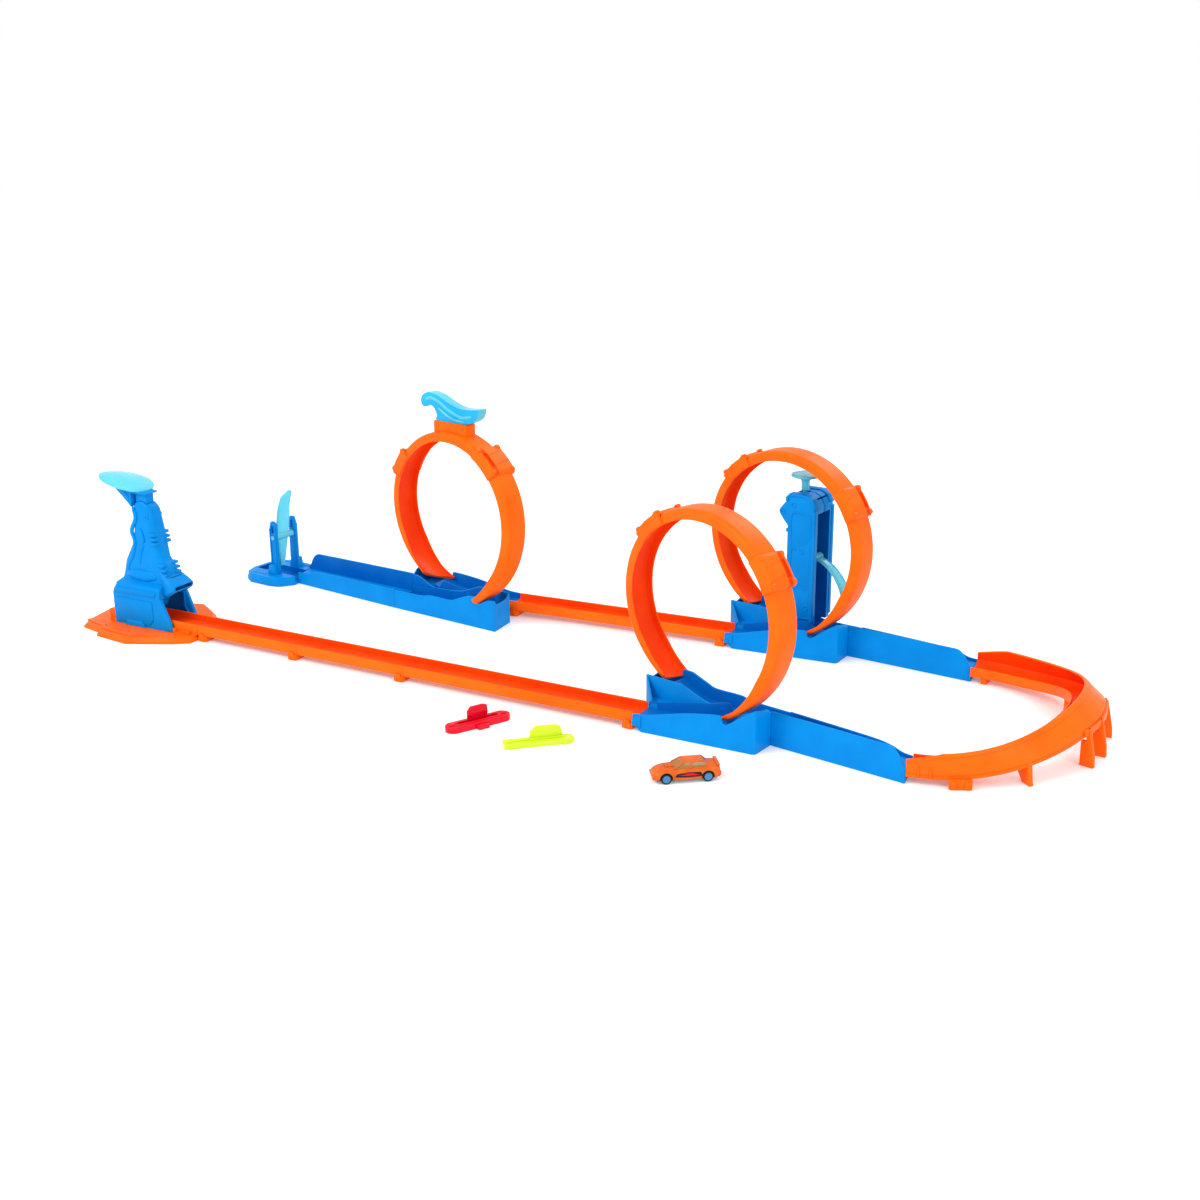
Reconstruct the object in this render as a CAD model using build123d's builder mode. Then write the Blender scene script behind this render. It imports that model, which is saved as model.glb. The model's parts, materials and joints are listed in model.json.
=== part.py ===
"""Toy car track set: slam launcher, three loops, banked U-turn, booster tower and finish gate.

Millimetres, +Z up, +X along the front line from the launcher to the U-turn. The origin is on the
floor, under the middle of the whole layout.
"""
from build123d import *
from math import atan2, cos, degrees, hypot, radians, sin, sqrt
import os

os.makedirs("parts", exist_ok=True)

# ---- track section -------------------------------------------------------------------------
TRACK_W = 42.0          # over the rails
RAIL_T = 2.0            # rail thickness
RAIL_TOP = 24.0         # height of the rails above the floor
RAIL_FOOT = 9.0         # lower edge of the rails
DECK_TOP = 15.0         # running surface
DECK_T = 2.0
SLOT_W = 18.0           # connector slot under the deck
SLOT_LIP = 1.5
JOINT_GAP = 0.4         # seam between neighbouring track pieces

# ---- layout --------------------------------------------------------------------------------
LOOP_X = 264.0          # first loop's centre
FRONT_Y = -133.0        # centre line of the front straight
REAR_STEP = (-27.0, 339.0)      # from the first loop set to the second
REAR_ANGLE = 3.8        # the rear line's heading
ENTRY_X = -64.0         # where a loop set begins, from its own origin
LONG = 355.0            # long straight
SHORT = 185.0           # short straight

# ---- loops ---------------------------------------------------------------------------------
LOOP_R = 134.0          # outside of the strip
LOOP_Z = 152.0          # height of the loop's centre
STRIP_W = 42.0
STRIP_RAIL = 14.0
STRIP_T = 2.5
LANE_SHIFT = 50.0       # sideways travel of the strip in one full turn
LANE_OFFSET = 39.6      # the loop's middle plane, from the entry lane
LOOP_SWING = -14.3      # the loop is turned towards the crossing lane
COUPLER_T = 5.0         # how far a coupler stands outside the strip
STRIP_ENDS = (30.0, 327.0)
COUPLER_SPANS = ((115.0, 135.0), (209.0, 231.0))
SEAM_DEG = 0.25

# ---- loop base and chute -------------------------------------------------------------------
WALL_T = 2.5
NEAR_Y = -24.0
BASE_END = 104.0
LANE_B_START = (-82.0, 50.0)        # near wall of the crossing lane, left end
LANE_B_END = (109.0, 13.0)
LANE_B_FAR_END = (117.0, 60.0)
BLOCK_BACK = (-82.0, 98.0)
BASE_CLEAR = 0.4
CHUTE_ENDS = {"1": ((291.0, -18.0), (287.0, 24.0)),     # near and far corner, cut to meet the bend
              "2": ((290.8, -18.0), (291.6, 24.0)),
              "3": ((333.0, -25.0), (329.0, 15.0))}

# ---- U-turn --------------------------------------------------------------------------------
UTURN_R = 198.5
UTURN_CENTRE = (535.75, 46.8)
UTURN_START = -84.2
UTURN_END = 92.5
UTURN_JOINT = 8.0
UTURN_TOP = 40.0        # wall height over the level part of the bend
UTURN_RISE = 32.0       # how far the bend climbs towards its crest
UTURN_LEAN = 24.0       # how far the wall leans in at the crest

# ---- launcher ------------------------------------------------------------------------------
LAUNCH_X = -636.0       # the launcher's own origin on the front line
LAUNCH_DEPTH = 30.0     # half depth of the shells
SHELL_T = 3.0
PLATE_T = 8.0
DECK_START = -64.0
DECK_END = 111.0
PRESS = 10.0            # plunger travel of the launcher
LAUNCH_ROD_X = 11.0
LAUNCH_PIVOT = (33.0, 98.0)
SHOULDER = 15.0         # the upper body is this much slimmer on each side

# ---- booster tower -------------------------------------------------------------------------
TOWER_AT = (35.0, 52.0)     # in the second loop set's frame
TOWER_TURN = -10.8
TOWER_W = 44.0
TOWER_SLOT = 35.0
TOWER_SIDE = 10.0
TOWER_FOOT = 34.0
TOWER_TOP = 224.0
BOOST_TRAVEL = 15.0
BOOST_ROD_X = -9.0
BOOST_PIVOT = (10.0, 128.0)

# ---- mechanism -----------------------------------------------------------------------------
ROD_R = 4.0
ROD_CLEAR = 0.3
PIN_R = 2.5
PIN_CLEAR = 0.08
LEVER_T = 12.0
SPRING_WIRE = 0.7       # wire radius

# ---- loose pieces --------------------------------------------------------------------------
CAR_AT = (322.0, -256.0)
CAR_TURN = 218.0
WHEEL_R = 6.5
AXLE_R = 0.8
AXLE_CLEAR = 0.06
WHEELBASE = 50.0
WHEEL_TRACK = 25.0
RED_AT = (17.0, -233.0)
RED_TURN = 62.0
LIME_AT = (118.0, -248.0)
LIME_TURN = 42.0

MIN_Z = (Align.CENTER, Align.CENTER, Align.MIN)
LOW = (Align.CENTER, Align.MIN)


def spot(x, y, turn=0.0, z=0.0):
    """A place on the floor and a heading."""
    return Location((x, y, z), (0, 0, turn))


SET_1 = spot(LOOP_X, FRONT_Y)
SET_2 = spot(LOOP_X + REAR_STEP[0], FRONT_Y + REAR_STEP[1], REAR_ANGLE)
SET_3 = SET_2 * spot(2 * ENTRY_X - LONG, 0, 180)
LOOP_SETS = {"1": SET_1, "2": SET_2, "3": SET_3}
LAUNCHER = spot(LAUNCH_X, FRONT_Y)
TOWER = SET_2 * spot(*TOWER_AT, TOWER_TURN)


def save(part, name, place=Location()):
    """Put a finished piece in its place and write its STEP file."""
    piece = part.moved(place)
    piece.label = name
    export_step(piece, f"parts/{name}.step")


def outline(points):
    """A closed straight-sided face in the current sketch."""
    Polygon(*points, align=None)


def upright(start, end):
    """The plane of a wall: x along the wall, y up, outside to the right of the run."""
    run_x, run_y = end[0] - start[0], end[1] - start[1]
    return Plane(origin=(*start, 0), x_dir=(run_x, run_y, 0), z_dir=(run_y, -run_x, 0))


def wall(start, end, points, thickness=WALL_T):
    """Add a wall whose outside stands on the line from start to end."""
    with BuildSketch(upright(start, end)) as face:
        outline(points)
    extrude(face.sketch, amount=-thickness)


def slab(points, low, high):
    """Add a level plate with the given plan."""
    with BuildSketch(Plane.XY.offset(low)) as plan:
        outline(points)
    extrude(plan.sketch, amount=high - low)


def side_plane(y):
    """XZ plane at y, with X to the right and Z up; extrude goes towards -Y."""
    return Plane(origin=(0, y, 0), x_dir=(1, 0, 0), z_dir=(0, -1, 0))


# ---- straights and connectors --------------------------------------------------------------
def track_section():
    """U-section with rails and the connector slot below the deck."""
    inside = TRACK_W - 2 * RAIL_T
    with Locations((0, RAIL_FOOT)):
        Rectangle(TRACK_W, RAIL_TOP - RAIL_FOOT, align=LOW)
    with Locations((0, DECK_TOP)):
        Rectangle(inside, RAIL_TOP, align=LOW, mode=Mode.SUBTRACT)
    with Locations((0, RAIL_FOOT)):
        Rectangle(inside, DECK_TOP - DECK_T - RAIL_FOOT, align=LOW, mode=Mode.SUBTRACT)
    for side in (-1, 1):
        with Locations((side * (SLOT_W + SLOT_LIP) / 2, RAIL_FOOT + 0.5)):
            Rectangle(SLOT_LIP, DECK_TOP - RAIL_FOOT - 1.5, align=LOW)
        with Locations((side * (SLOT_W - SLOT_LIP) / 2, RAIL_FOOT + 0.5)):
            Rectangle(SLOT_LIP, 1.0, align=LOW)


def straight(length):
    """A track straight that starts at x = 0."""
    with BuildPart() as piece:
        with BuildSketch(Plane.YZ):
            track_section()
        extrude(amount=length - JOINT_GAP)
    return piece.part


front_x = LOOP_X + ENTRY_X - LONG
save(straight(LONG), "front_track_long", spot(front_x, FRONT_Y))
save(straight(SHORT), "front_track_middle", spot(front_x - SHORT, FRONT_Y))
save(straight(SHORT), "front_track_start", spot(front_x - 2 * SHORT, FRONT_Y))
save(straight(LONG), "rear_track_long", SET_2 * spot(ENTRY_X - LONG, 0))

TONGUE_W = SLOT_W - 0.6
TONGUE_LOW = RAIL_FOOT + 1.8
TONGUE_L = 56.0
FOOT_L = 15.0
with BuildPart() as connector:
    with Locations((0, 0, TONGUE_LOW)):
        Box(TONGUE_L, TONGUE_W, DECK_TOP - DECK_T - 0.2 - TONGUE_LOW, align=MIN_Z)
    with Locations((-FOOT_L / 2 - 1, 0, 0)):
        Box(FOOT_L, SLOT_W - 2 * SLOT_LIP - 0.6, TONGUE_LOW, align=MIN_Z)
        Box(FOOT_L, TRACK_W + 3, RAIL_FOOT - 0.3, align=MIN_Z)
CONNECTOR_SPOTS = [
    spot(front_x, FRONT_Y),
    spot(front_x - SHORT, FRONT_Y),
    spot(front_x - 2 * SHORT, FRONT_Y, 180),
    SET_1 * spot(ENTRY_X, 0),
    SET_2 * spot(ENTRY_X, 0),
    SET_3 * spot(ENTRY_X, 0),
]
connectors = Compound(children=[connector.part.moved(place) for place in CONNECTOR_SPOTS])
save(connectors, "track_connectors")


# ---- loop strips ---------------------------------------------------------------------------
def loop_drift(angle):
    """Sideways place of the strip's centre at an angle counted from the bottom."""
    return LANE_OFFSET + LANE_SHIFT * (angle / 360 - 0.5)


def loop_piece(first, last, outer_t, side_t):
    """A stretch of the loop between two angles: a channel, open towards the loop's centre.

    Its plane leans so that both ends follow the sideways drift of the turn.
    """
    middle, half = (first + last) / 2, (last - first) / 2
    lean = atan2(LANE_SHIFT * half / 360, LOOP_R * sin(radians(half)))
    radial = Vector(sin(radians(middle)), 0, -cos(radians(middle)))
    ahead = Vector(cos(radians(middle)), 0, sin(radians(middle)))
    travel = ahead * cos(lean) + Vector(0, 1, 0) * sin(lean)
    axle = radial.cross(travel)
    centre = Vector(0, loop_drift(middle), LOOP_Z)
    begin = radial * cos(radians(half)) - travel * sin(radians(half))
    section = Plane(origin=centre, x_dir=begin, z_dir=begin.cross(axle))
    width = STRIP_W + 2 * side_t
    depth = STRIP_RAIL + outer_t
    with BuildPart() as piece:
        with BuildSketch(section):
            with Locations((LOOP_R + outer_t - depth / 2, 0)):
                body = Rectangle(depth, width)
            fillet(body.vertices().group_by(Axis((0, 0, 0), begin))[-1], 4.5)
            floor_r = LOOP_R - STRIP_T
            with Locations((floor_r - STRIP_RAIL / 2, 0)):
                Rectangle(STRIP_RAIL, STRIP_W - 2 * RAIL_T, mode=Mode.SUBTRACT)
        revolve(axis=Axis(centre, axle), revolution_arc=last - first)
    return piece.part


(lower_a, lower_b), (upper_a, upper_b) = COUPLER_SPANS
strip_rise = loop_piece(STRIP_ENDS[0], lower_a - SEAM_DEG, 0, 0)
strip_top = loop_piece(lower_b + SEAM_DEG, upper_a - SEAM_DEG, 0, 0)
strip_fall = loop_piece(upper_b + SEAM_DEG, STRIP_ENDS[1], 0, 0)
coupler_low = loop_piece(lower_a, lower_b, COUPLER_T, 2.5)
coupler_high = loop_piece(upper_a, upper_b, COUPLER_T, 2.5)

# ---- loop base: entry lane, raised block and crossing lane ------------------------------------
lane_b_run = hypot(LANE_B_END[0] - LANE_B_START[0], LANE_B_END[1] - LANE_B_START[1])
lane_b_back = hypot(LANE_B_FAR_END[0] - BLOCK_BACK[0], LANE_B_FAR_END[1] - BLOCK_BACK[1])
entry = ENTRY_X + BASE_CLEAR
near_run = BASE_END - entry
with BuildPart() as loop_base:
    # near wall: slopes up from the entry and dips where the loop strip comes down
    wall((entry, NEAR_Y), (BASE_END, NEAR_Y),
         [(0, 9), (12, 0), (near_run, 0), (near_run, 57), (160, 53.5), (153, 49), (143, 41.5),
          (133, 34.5), (125, 31), (121, 43), (104, 41.5), (75, 37), (48, 31), (20, 24.5), (0, 23)])
    # wall between the lanes
    wall((entry, 22), (BASE_END, 22),
         [(0, 9), (near_run, 9), (near_run, 27), (122, 27.6), (112, 42), (84, 36), (48, 31), (20, 25),
          (0, 23)])
    # entry deck: level, then turning up to meet the strip
    wall((entry, -22), (BASE_END, -22),
         [(0, 15), (60, 15), (76, 16), (92, 18.8), (106, 23.5), (118, 29), (129, 35.3), (131, 30),
          (near_run, 28), (near_run, 26), (131, 28), (120, 27.5), (107, 21.5), (93, 16.6),
          (76, 14), (60, 13), (0, 13)], thickness=45)
    # closed end of the entry lane
    wall((BASE_END, NEAR_Y), LANE_B_END, [(0, 0), (37.3, 0), (37.3, 44), (30, 51), (0, 57)])
    # raised block: left face, near and far wall of the crossing lane
    wall(BLOCK_BACK, LANE_B_START, [(0, 0), (48, 0), (48, 48), (40, 40), (8, 40), (0, 48)])
    wall((-82, 50), (-62, 24), [(0, 0), (33, 0), (33, 24), (0, 48)])
    wall(LANE_B_START, LANE_B_END,
         [(0, 0), (lane_b_run, 0), (lane_b_run, 44), (184, 43), (174, 40), (163, 34), (150, 30),
          (120, 31), (95, 33.6), (80, 38.5), (60, 46), (50, 47.5), (0, 48)])
    wall(LANE_B_FAR_END, BLOCK_BACK,
         [(0, 0), (lane_b_back, 0), (lane_b_back, 48), (lane_b_back - 13, 47),
          (lane_b_back - 30, 38.5), (lane_b_back - 33, 38.5), (lane_b_back - 35.5, 48),
          (lane_b_back - 50, 48), (lane_b_back - 75, 38), (lane_b_back - 90, 33.6),
          (lane_b_back - 130, 33.6), (lane_b_back - 145, 30), (0, 29)])
    # crossing lane deck: comes down from the strip's end and runs out level
    wall((-81, 51.6), (108.5, 15.2),
         [(0, 30), (24, 30), (27, 37.5), (38, 30.5), (50, 24.8), (62, 20.5), (78, 17), (100, 15),
          (192.9, 15), (192.9, 13), (100, 13), (78, 15), (62, 18.5), (50, 22.8), (38, 28.2),
          (29, 34), (24, 28), (0, 28)], thickness=44)
    # deck that closes the gap between the two lanes
    slab([(-80.2, 50.9), (-60.2, 23.4), (53, 23.4), (53, 24.9)], 18, 20)
    # entry tabs beside the incoming straight
    wall((entry, NEAR_Y), (entry + 12, NEAR_Y), [(0, 9), (12, 9), (12, 20), (0, 20)], thickness=3)

# ---- chute: carries the car on from the crossing lane -------------------------------------------
def chute(near_end, far_end):
    """A trough with a tall near wall and a low far wall."""
    near_start = (LANE_B_END[0] + BASE_CLEAR, LANE_B_END[1])
    far_start = (LANE_B_FAR_END[0] + BASE_CLEAR, LANE_B_FAR_END[1])
    near_run = hypot(near_end[0] - near_start[0], near_end[1] - near_start[1])
    far_run = hypot(far_end[0] - far_start[0], far_end[1] - far_start[1])
    end_run = hypot(far_end[0] - near_end[0], far_end[1] - near_end[1])
    with BuildPart() as trough:
        slab([near_start, near_end, far_end, far_start], 13, 15)
        wall(near_start, near_end,
             [(0, 0), (near_run, 0), (near_run, 20), (near_run - 5, 24), (near_run - 9, 33.5),
              (near_run - 16, 40.5), (near_run - 21, 42.8), (70, 44.5), (0, 45)])
        wall(far_end, far_start,
             [(0, 0), (far_run, 0), (far_run, 30), (60, 28), (30, 25), (14, 20), (0, 19)])
        wall(near_end, far_end, [(0, 0), (end_run, 0), (end_run, 14), (0, 14)])
    return trough.part


for number, place in LOOP_SETS.items():
    swung = place * spot(0, 0, LOOP_SWING)
    save(loop_base.part, f"loop_{number}_base", place)
    save(chute(*CHUTE_ENDS[number]), f"loop_{number}_chute", place)
    save(strip_rise, f"loop_{number}_strip_rising", swung)
    save(strip_top, f"loop_{number}_strip_top", swung)
    save(strip_fall, f"loop_{number}_strip_falling", swung)
    save(Compound(children=[coupler_low, coupler_high]), f"loop_{number}_couplers", swung)


# ---- U-turn ------------------------------------------------------------------------------------
def uturn_share(heading):
    """0 at the ends of the bend, 1 at its crest."""
    return max(0.0, (cos(radians(heading)) - 0.1) / 0.9)


def uturn_wall_top(heading):
    """Wall height over the deck's own level: it slopes up from each end of the bend."""
    end = UTURN_START if heading < 0 else UTURN_END
    run = UTURN_R * (cos(radians(heading)) - cos(radians(end)))
    return min(UTURN_TOP, 31 + 0.22 * max(run, 0))


def uturn_section(heading):
    """Radius and height points of the banked bend: low inner rail, deck, wall that leans in."""
    inner = UTURN_R - TRACK_W
    share = uturn_share(heading)
    top = uturn_wall_top(heading)
    lean = (0.8 + UTURN_LEAN * share ** 1.5) * (top - 20) / 20
    climb = UTURN_RISE * share ** 2.5
    points = [(inner, 9), (inner + 2, 9), (inner + 2, 13), (UTURN_R - 12, 13), (UTURN_R - 2.6, 17),
              (UTURN_R - 2.6, 9), (UTURN_R, 9), (UTURN_R, 20), (UTURN_R - lean, top),
              (UTURN_R - lean - 3.2, top - 0.8), (UTURN_R - 3.2, 21), (UTURN_R - 12, 15),
              (inner + 2, 15), (inner + 2, 22), (inner, 22)]
    return [(r, z + climb) for r, z in points]


def uturn_piece(first, last):
    """A stretch of the bend, drawn through sections a few degrees apart."""
    steps = round((last - first) / 4)
    with BuildPart() as piece:
        for k in range(steps + 1):
            heading = first + (last - first) * k / steps
            turn = radians(heading)
            section = Plane(origin=(*UTURN_CENTRE, 0), x_dir=(cos(turn), sin(turn), 0),
                            z_dir=(sin(turn), -cos(turn), 0))
            with BuildSketch(section):
                outline(uturn_section(heading))
        loft(ruled=True)
    return piece.part


with BuildPart() as uturn_near:
    add(uturn_piece(UTURN_START, UTURN_JOINT - 0.1))
    # clip bracket under the outside of the bend
    with Locations(Location((*UTURN_CENTRE, 0), (0, 0, -66))):
        with Locations((UTURN_R + 1.9, 0, 0)):
            Box(6, 27, 13, align=MIN_Z)
        with Locations((UTURN_R - 18, 0, 0)):
            Box(30, 10, 16, align=MIN_Z)
    # triangular foot
    with BuildSketch(Plane(origin=(*UTURN_CENTRE, 0), x_dir=(cos(radians(-42)), sin(radians(-42)), 0),
                           z_dir=(sin(radians(-42)), -cos(radians(-42)), 0)).offset(-3)):
        outline([(UTURN_R - 1, 30), (UTURN_R - 12, 27.6), (UTURN_R - 36, 27.6), (UTURN_R - 10, 0),
                 (UTURN_R + 6, 0), (UTURN_R + 4, 6)])
    extrude(amount=6)
save(uturn_near.part, "uturn_near_half")

with BuildPart() as uturn_far:
    add(uturn_piece(UTURN_JOINT + 0.1, UTURN_END))
    for angle, height in ((86, 13.5), (30, 34.5)):
        with Locations(Location((*UTURN_CENTRE, 0), (0, 0, angle))):
            with Locations((UTURN_R - 26, 0, 0)):
                Box(28, 8, height, align=MIN_Z)
save(uturn_far.part, "uturn_far_half")

# the stand holds the crest of the bend from outside, on splayed legs
STAND_GAP = 0.3
with BuildPart() as uturn_stand:
    for leg in (-14, -3, 15):
        heading = radians(leg)
        with BuildSketch(Plane(origin=(*UTURN_CENTRE, 0), x_dir=(cos(heading), sin(heading), 0),
                               z_dir=(sin(heading), -cos(heading), 0)).offset(-3)):
            outline([(UTURN_R + STAND_GAP, 48), (UTURN_R + STAND_GAP, 32), (UTURN_R - 6, 32),
                     (UTURN_R - 6, 0), (UTURN_R + 12, 0), (UTURN_R + 11, 14), (UTURN_R + 4, 48)])
        extrude(amount=6)
    with BuildSketch(Plane(origin=(*UTURN_CENTRE, 0), x_dir=(cos(radians(-17)), sin(radians(-17)), 0),
                           z_dir=(sin(radians(-17)), -cos(radians(-17)), 0))):
        outline([(UTURN_R + STAND_GAP, 48), (UTURN_R + STAND_GAP, 40), (UTURN_R + 3, 40),
                 (UTURN_R + 3, 48)])
    revolve(axis=Axis((*UTURN_CENTRE, 0), (0, 0, 1)), revolution_arc=35)
save(uturn_stand.part, "uturn_stand")


# ---- kicking mechanism, shared by the launcher and the booster tower ------------------------------
def coil(low, high, radius, turns, wire):
    """A compression spring round a vertical rod."""
    with BuildPart() as spring:
        with BuildLine():
            path = Helix(pitch=(high - low - 2 * wire) / turns, height=high - low - 2 * wire,
                         radius=radius, center=(0, 0, low + wire))
        with BuildSketch(Plane(origin=path @ 0, z_dir=path % 0)):
            Circle(wire)
        sweep(is_frenet=True)
    return spring.part


def pin(radius, length):
    """A pivot pin along Y with a head at its near end."""
    with BuildPart() as piece:
        with Locations(Location((0, 0, 0), (90, 0, 0))):
            Cylinder(radius, length)
        with Locations(Location((0, -length / 2 - 0.6, 0), (90, 0, 0))):
            Cylinder(radius + 1.5, 1.2)
    return piece.part


def screw(radius=1.5, length=10.0):
    """A small pan-head screw along Y, with its head on the near side."""
    with BuildPart() as piece:
        with Locations(Location((0, length / 2, 0), (90, 0, 0))):
            Cylinder(radius, length)
        with Locations(Location((0, -0.9, 0), (90, 0, 0))):
            Cylinder(radius * 1.9, 1.8)
    return piece.part


# ---- launcher ----------------------------------------------------------------------------------
with BuildPart() as launcher_base:
    with BuildSketch():
        with BuildLine():
            Polyline((-100, 34), (-106, 22), (-94, -40), (-85, -56), (-46, -64), (-38, -76),
                     (25, -83), (88, -52), (109, -37), (112, -23), (112, 23), (92, 44), (60, 75),
                     (17, 102), (-4, 96), (-30, 62), (-72, 46), close=True)
        make_face()
        fillet(vertices(), 4)
    extrude(amount=PLATE_T, taper=14)
    with Locations(((DECK_START + DECK_END - JOINT_GAP) / 2, 0, 0)):
        Box(DECK_END - JOINT_GAP - DECK_START, TRACK_W, RAIL_FOOT + 0.1, align=MIN_Z)
    with BuildSketch(Plane.YZ.offset(DECK_START)):
        with Locations((0, RAIL_FOOT)):
            Rectangle(TRACK_W, RAIL_TOP - RAIL_FOOT, align=LOW)
        with Locations((0, DECK_TOP)):
            Rectangle(TRACK_W - 2 * RAIL_T, RAIL_TOP, align=LOW, mode=Mode.SUBTRACT)
    extrude(amount=DECK_END - JOINT_GAP - DECK_START)
    # slot for the first connector's tongue
    with Locations((DECK_END, 0, RAIL_FOOT - 0.2)):
        Box(62, SLOT_W, DECK_TOP - DECK_T - RAIL_FOOT + 0.2, align=MIN_Z, mode=Mode.SUBTRACT)
    with Locations((112, 0, 0)):
        Box(2, TRACK_W + 6, RAIL_FOOT + 1, align=MIN_Z, mode=Mode.SUBTRACT)
save(launcher_base.part, "launcher_base", LAUNCHER)

# side outline of the launcher's body: foot, waist, shoulder, and a snout over the tunnel mouth
FOOT_TOP = 74.0
LAUNCH_OUTLINE = [(-46, 8.05), (-46, 58), (-39, 68), (-29, 104), (-12, 132), (-5, 160), (-4, 195),
                  (-1, 197), (22, 197), (30, 184), (35, 157), (41, 112), (50, 100), (66, 84), (72, 76),
                  (70, 68), (56, 60), (49, 60), (49, 30), (60, 14), (58, 8.05)]
UPPER_OUTLINE = [(-37.3, FOOT_TOP), (71.4, FOOT_TOP), (72, 76), (66, 84), (50, 100), (41, 112), (35, 157),
                 (30, 184), (22, 197), (-1, 197), (-4, 195), (-5, 160), (-12, 132), (-29, 104)]
LAUNCH_SCREWS = [((-24, 84), SHOULDER), ((24, 176), SHOULDER), ((54, 84), SHOULDER)]
SCREW_R = 1.5


def launcher_shell(side):
    """Half of the launcher's body; side is -1 for the near half and +1 for the far one."""
    depth = LAUNCH_DEPTH
    with BuildPart() as shell:
        with BuildSketch(side_plane(0)):
            outline(LAUNCH_OUTLINE)
        extrude(amount=-side * depth)
        with BuildSketch(side_plane(0)):
            outline(LAUNCH_OUTLINE)
            offset(amount=-SHELL_T, kind=Kind.INTERSECTION, mode=Mode.REPLACE)
        extrude(amount=-side * (depth - SHELL_T), mode=Mode.SUBTRACT)
        with Locations((0, side * depth, FOOT_TOP)):
            Box(260, 2 * SHOULDER, 200, align=MIN_Z, mode=Mode.SUBTRACT)
        with BuildSketch(side_plane(side * (depth - SHOULDER - SHELL_T))):
            outline(UPPER_OUTLINE)
        extrude(amount=-side * SHELL_T)
        # ledge between the foot and the slimmer body
        with Locations((4, side * (depth - SHELL_T - SHOULDER / 2), FOOT_TOP - SHELL_T)):
            Box(80, SHOULDER, SHELL_T, align=MIN_Z)
        # tunnel for the car, and the kicker's way through its roof
        with BuildSketch(side_plane(0)):
            outline([(-60, 0), (-60, 56), (90, 56), (90, 0)])
        extrude(amount=-side * (TRACK_W / 2 + 0.6), mode=Mode.SUBTRACT)
        with Locations((38, 0, 48)):
            Box(40, 28, 20, align=MIN_Z, mode=Mode.SUBTRACT)
        # guide shelf for the plunger, and its way out at the top
        with Locations((LAUNCH_ROD_X, side * 6.5, 146)):
            Box(31, 13, 3)
        with Locations((LAUNCH_ROD_X, 0, 146)):
            Cylinder(ROD_R + ROD_CLEAR, 6, mode=Mode.SUBTRACT)
        with Locations((LAUNCH_ROD_X, 0, 196)):
            Cylinder(ROD_R + 1, 12, mode=Mode.SUBTRACT)
        for (x, z), step in LAUNCH_SCREWS:
            with Locations(Location((x, side * (depth - step) / 2, z), (90, 0, 0))):
                Cylinder(3.2, depth - step - 1)
            with Locations(Location((x, 0, z), (90, 0, 0))):
                reach = 2 * (depth + 5) if side < 0 else 24
                Cylinder(SCREW_R + 0.05, reach, mode=Mode.SUBTRACT)
        with Locations(Location((LAUNCH_PIVOT[0], 0, LAUNCH_PIVOT[1]), (90, 0, 0))):
            Cylinder(PIN_R + PIN_CLEAR, 2 * depth, mode=Mode.SUBTRACT)
    return shell.part


save(launcher_shell(-1), "launcher_shell_near", LAUNCHER)
save(launcher_shell(1), "launcher_shell_far", LAUNCHER)

launcher_screws = []
for (x, z), step in LAUNCH_SCREWS:
    head_y = -(LAUNCH_DEPTH - step)
    launcher_screws.append(screw(SCREW_R, 22).moved(Location((x, head_y, z))))
save(Compound(children=launcher_screws), "launcher_screws", LAUNCHER)


def lever(pivot, stub, arm, arm_w, tip_w, tip_l, fin=0.0):
    """A bell crank on a pin: a short stub under the rod and a long kicking arm.

    stub and arm are (x, z) from the pivot; the arm ends in a wider pad.
    """
    with BuildPart() as piece:
        with Locations(Location((0, 0, 0), (90, 0, 0))):
            Cylinder(6, 30 if fin else 14)
        for reach, width, radius in ((stub, LEVER_T, 3.0), (arm, arm_w, 4.0)):
            length = hypot(*reach)
            heading = degrees(atan2(reach[1], reach[0]))
            with BuildSketch(side_plane(-width / 2)):
                with Locations(Location((0, 0, 0), (0, 0, heading))):
                    with Locations((length / 2, 0)):
                        Rectangle(length, 2 * radius)
                    with Locations((length, 0)):
                        Circle(radius)
            extrude(amount=-width)
        with Locations(Location((arm[0], 0, arm[1]), (0, -heading, 0))):
            with Locations((-tip_l / 2 + 4, 0, 0)):
                Box(tip_l, tip_w, 7)
        if fin:
            with Locations((0.5, -13, fin / 2)):
                Box(4, 3, fin)
        with Locations(Location((0, 0, 0), (90, 0, 0))):
            Cylinder(PIN_R + PIN_CLEAR, 60, mode=Mode.SUBTRACT)
    return piece.part.moved(Location((pivot[0], 0, pivot[1])))


# the stub's tip drops by the plunger's travel, half of it on each side of level
LAUNCH_STUB_R = 22.0
launch_half = PRESS / 2
launch_stub = (-sqrt(LAUNCH_STUB_R ** 2 - launch_half ** 2), launch_half)
save(lever(LAUNCH_PIVOT, launch_stub, (-8, -60), 10, 24, 12), "launcher_kicker", LAUNCHER)
LAUNCH_SWING = 2 * degrees(atan2(launch_half, -launch_stub[0]))

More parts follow.
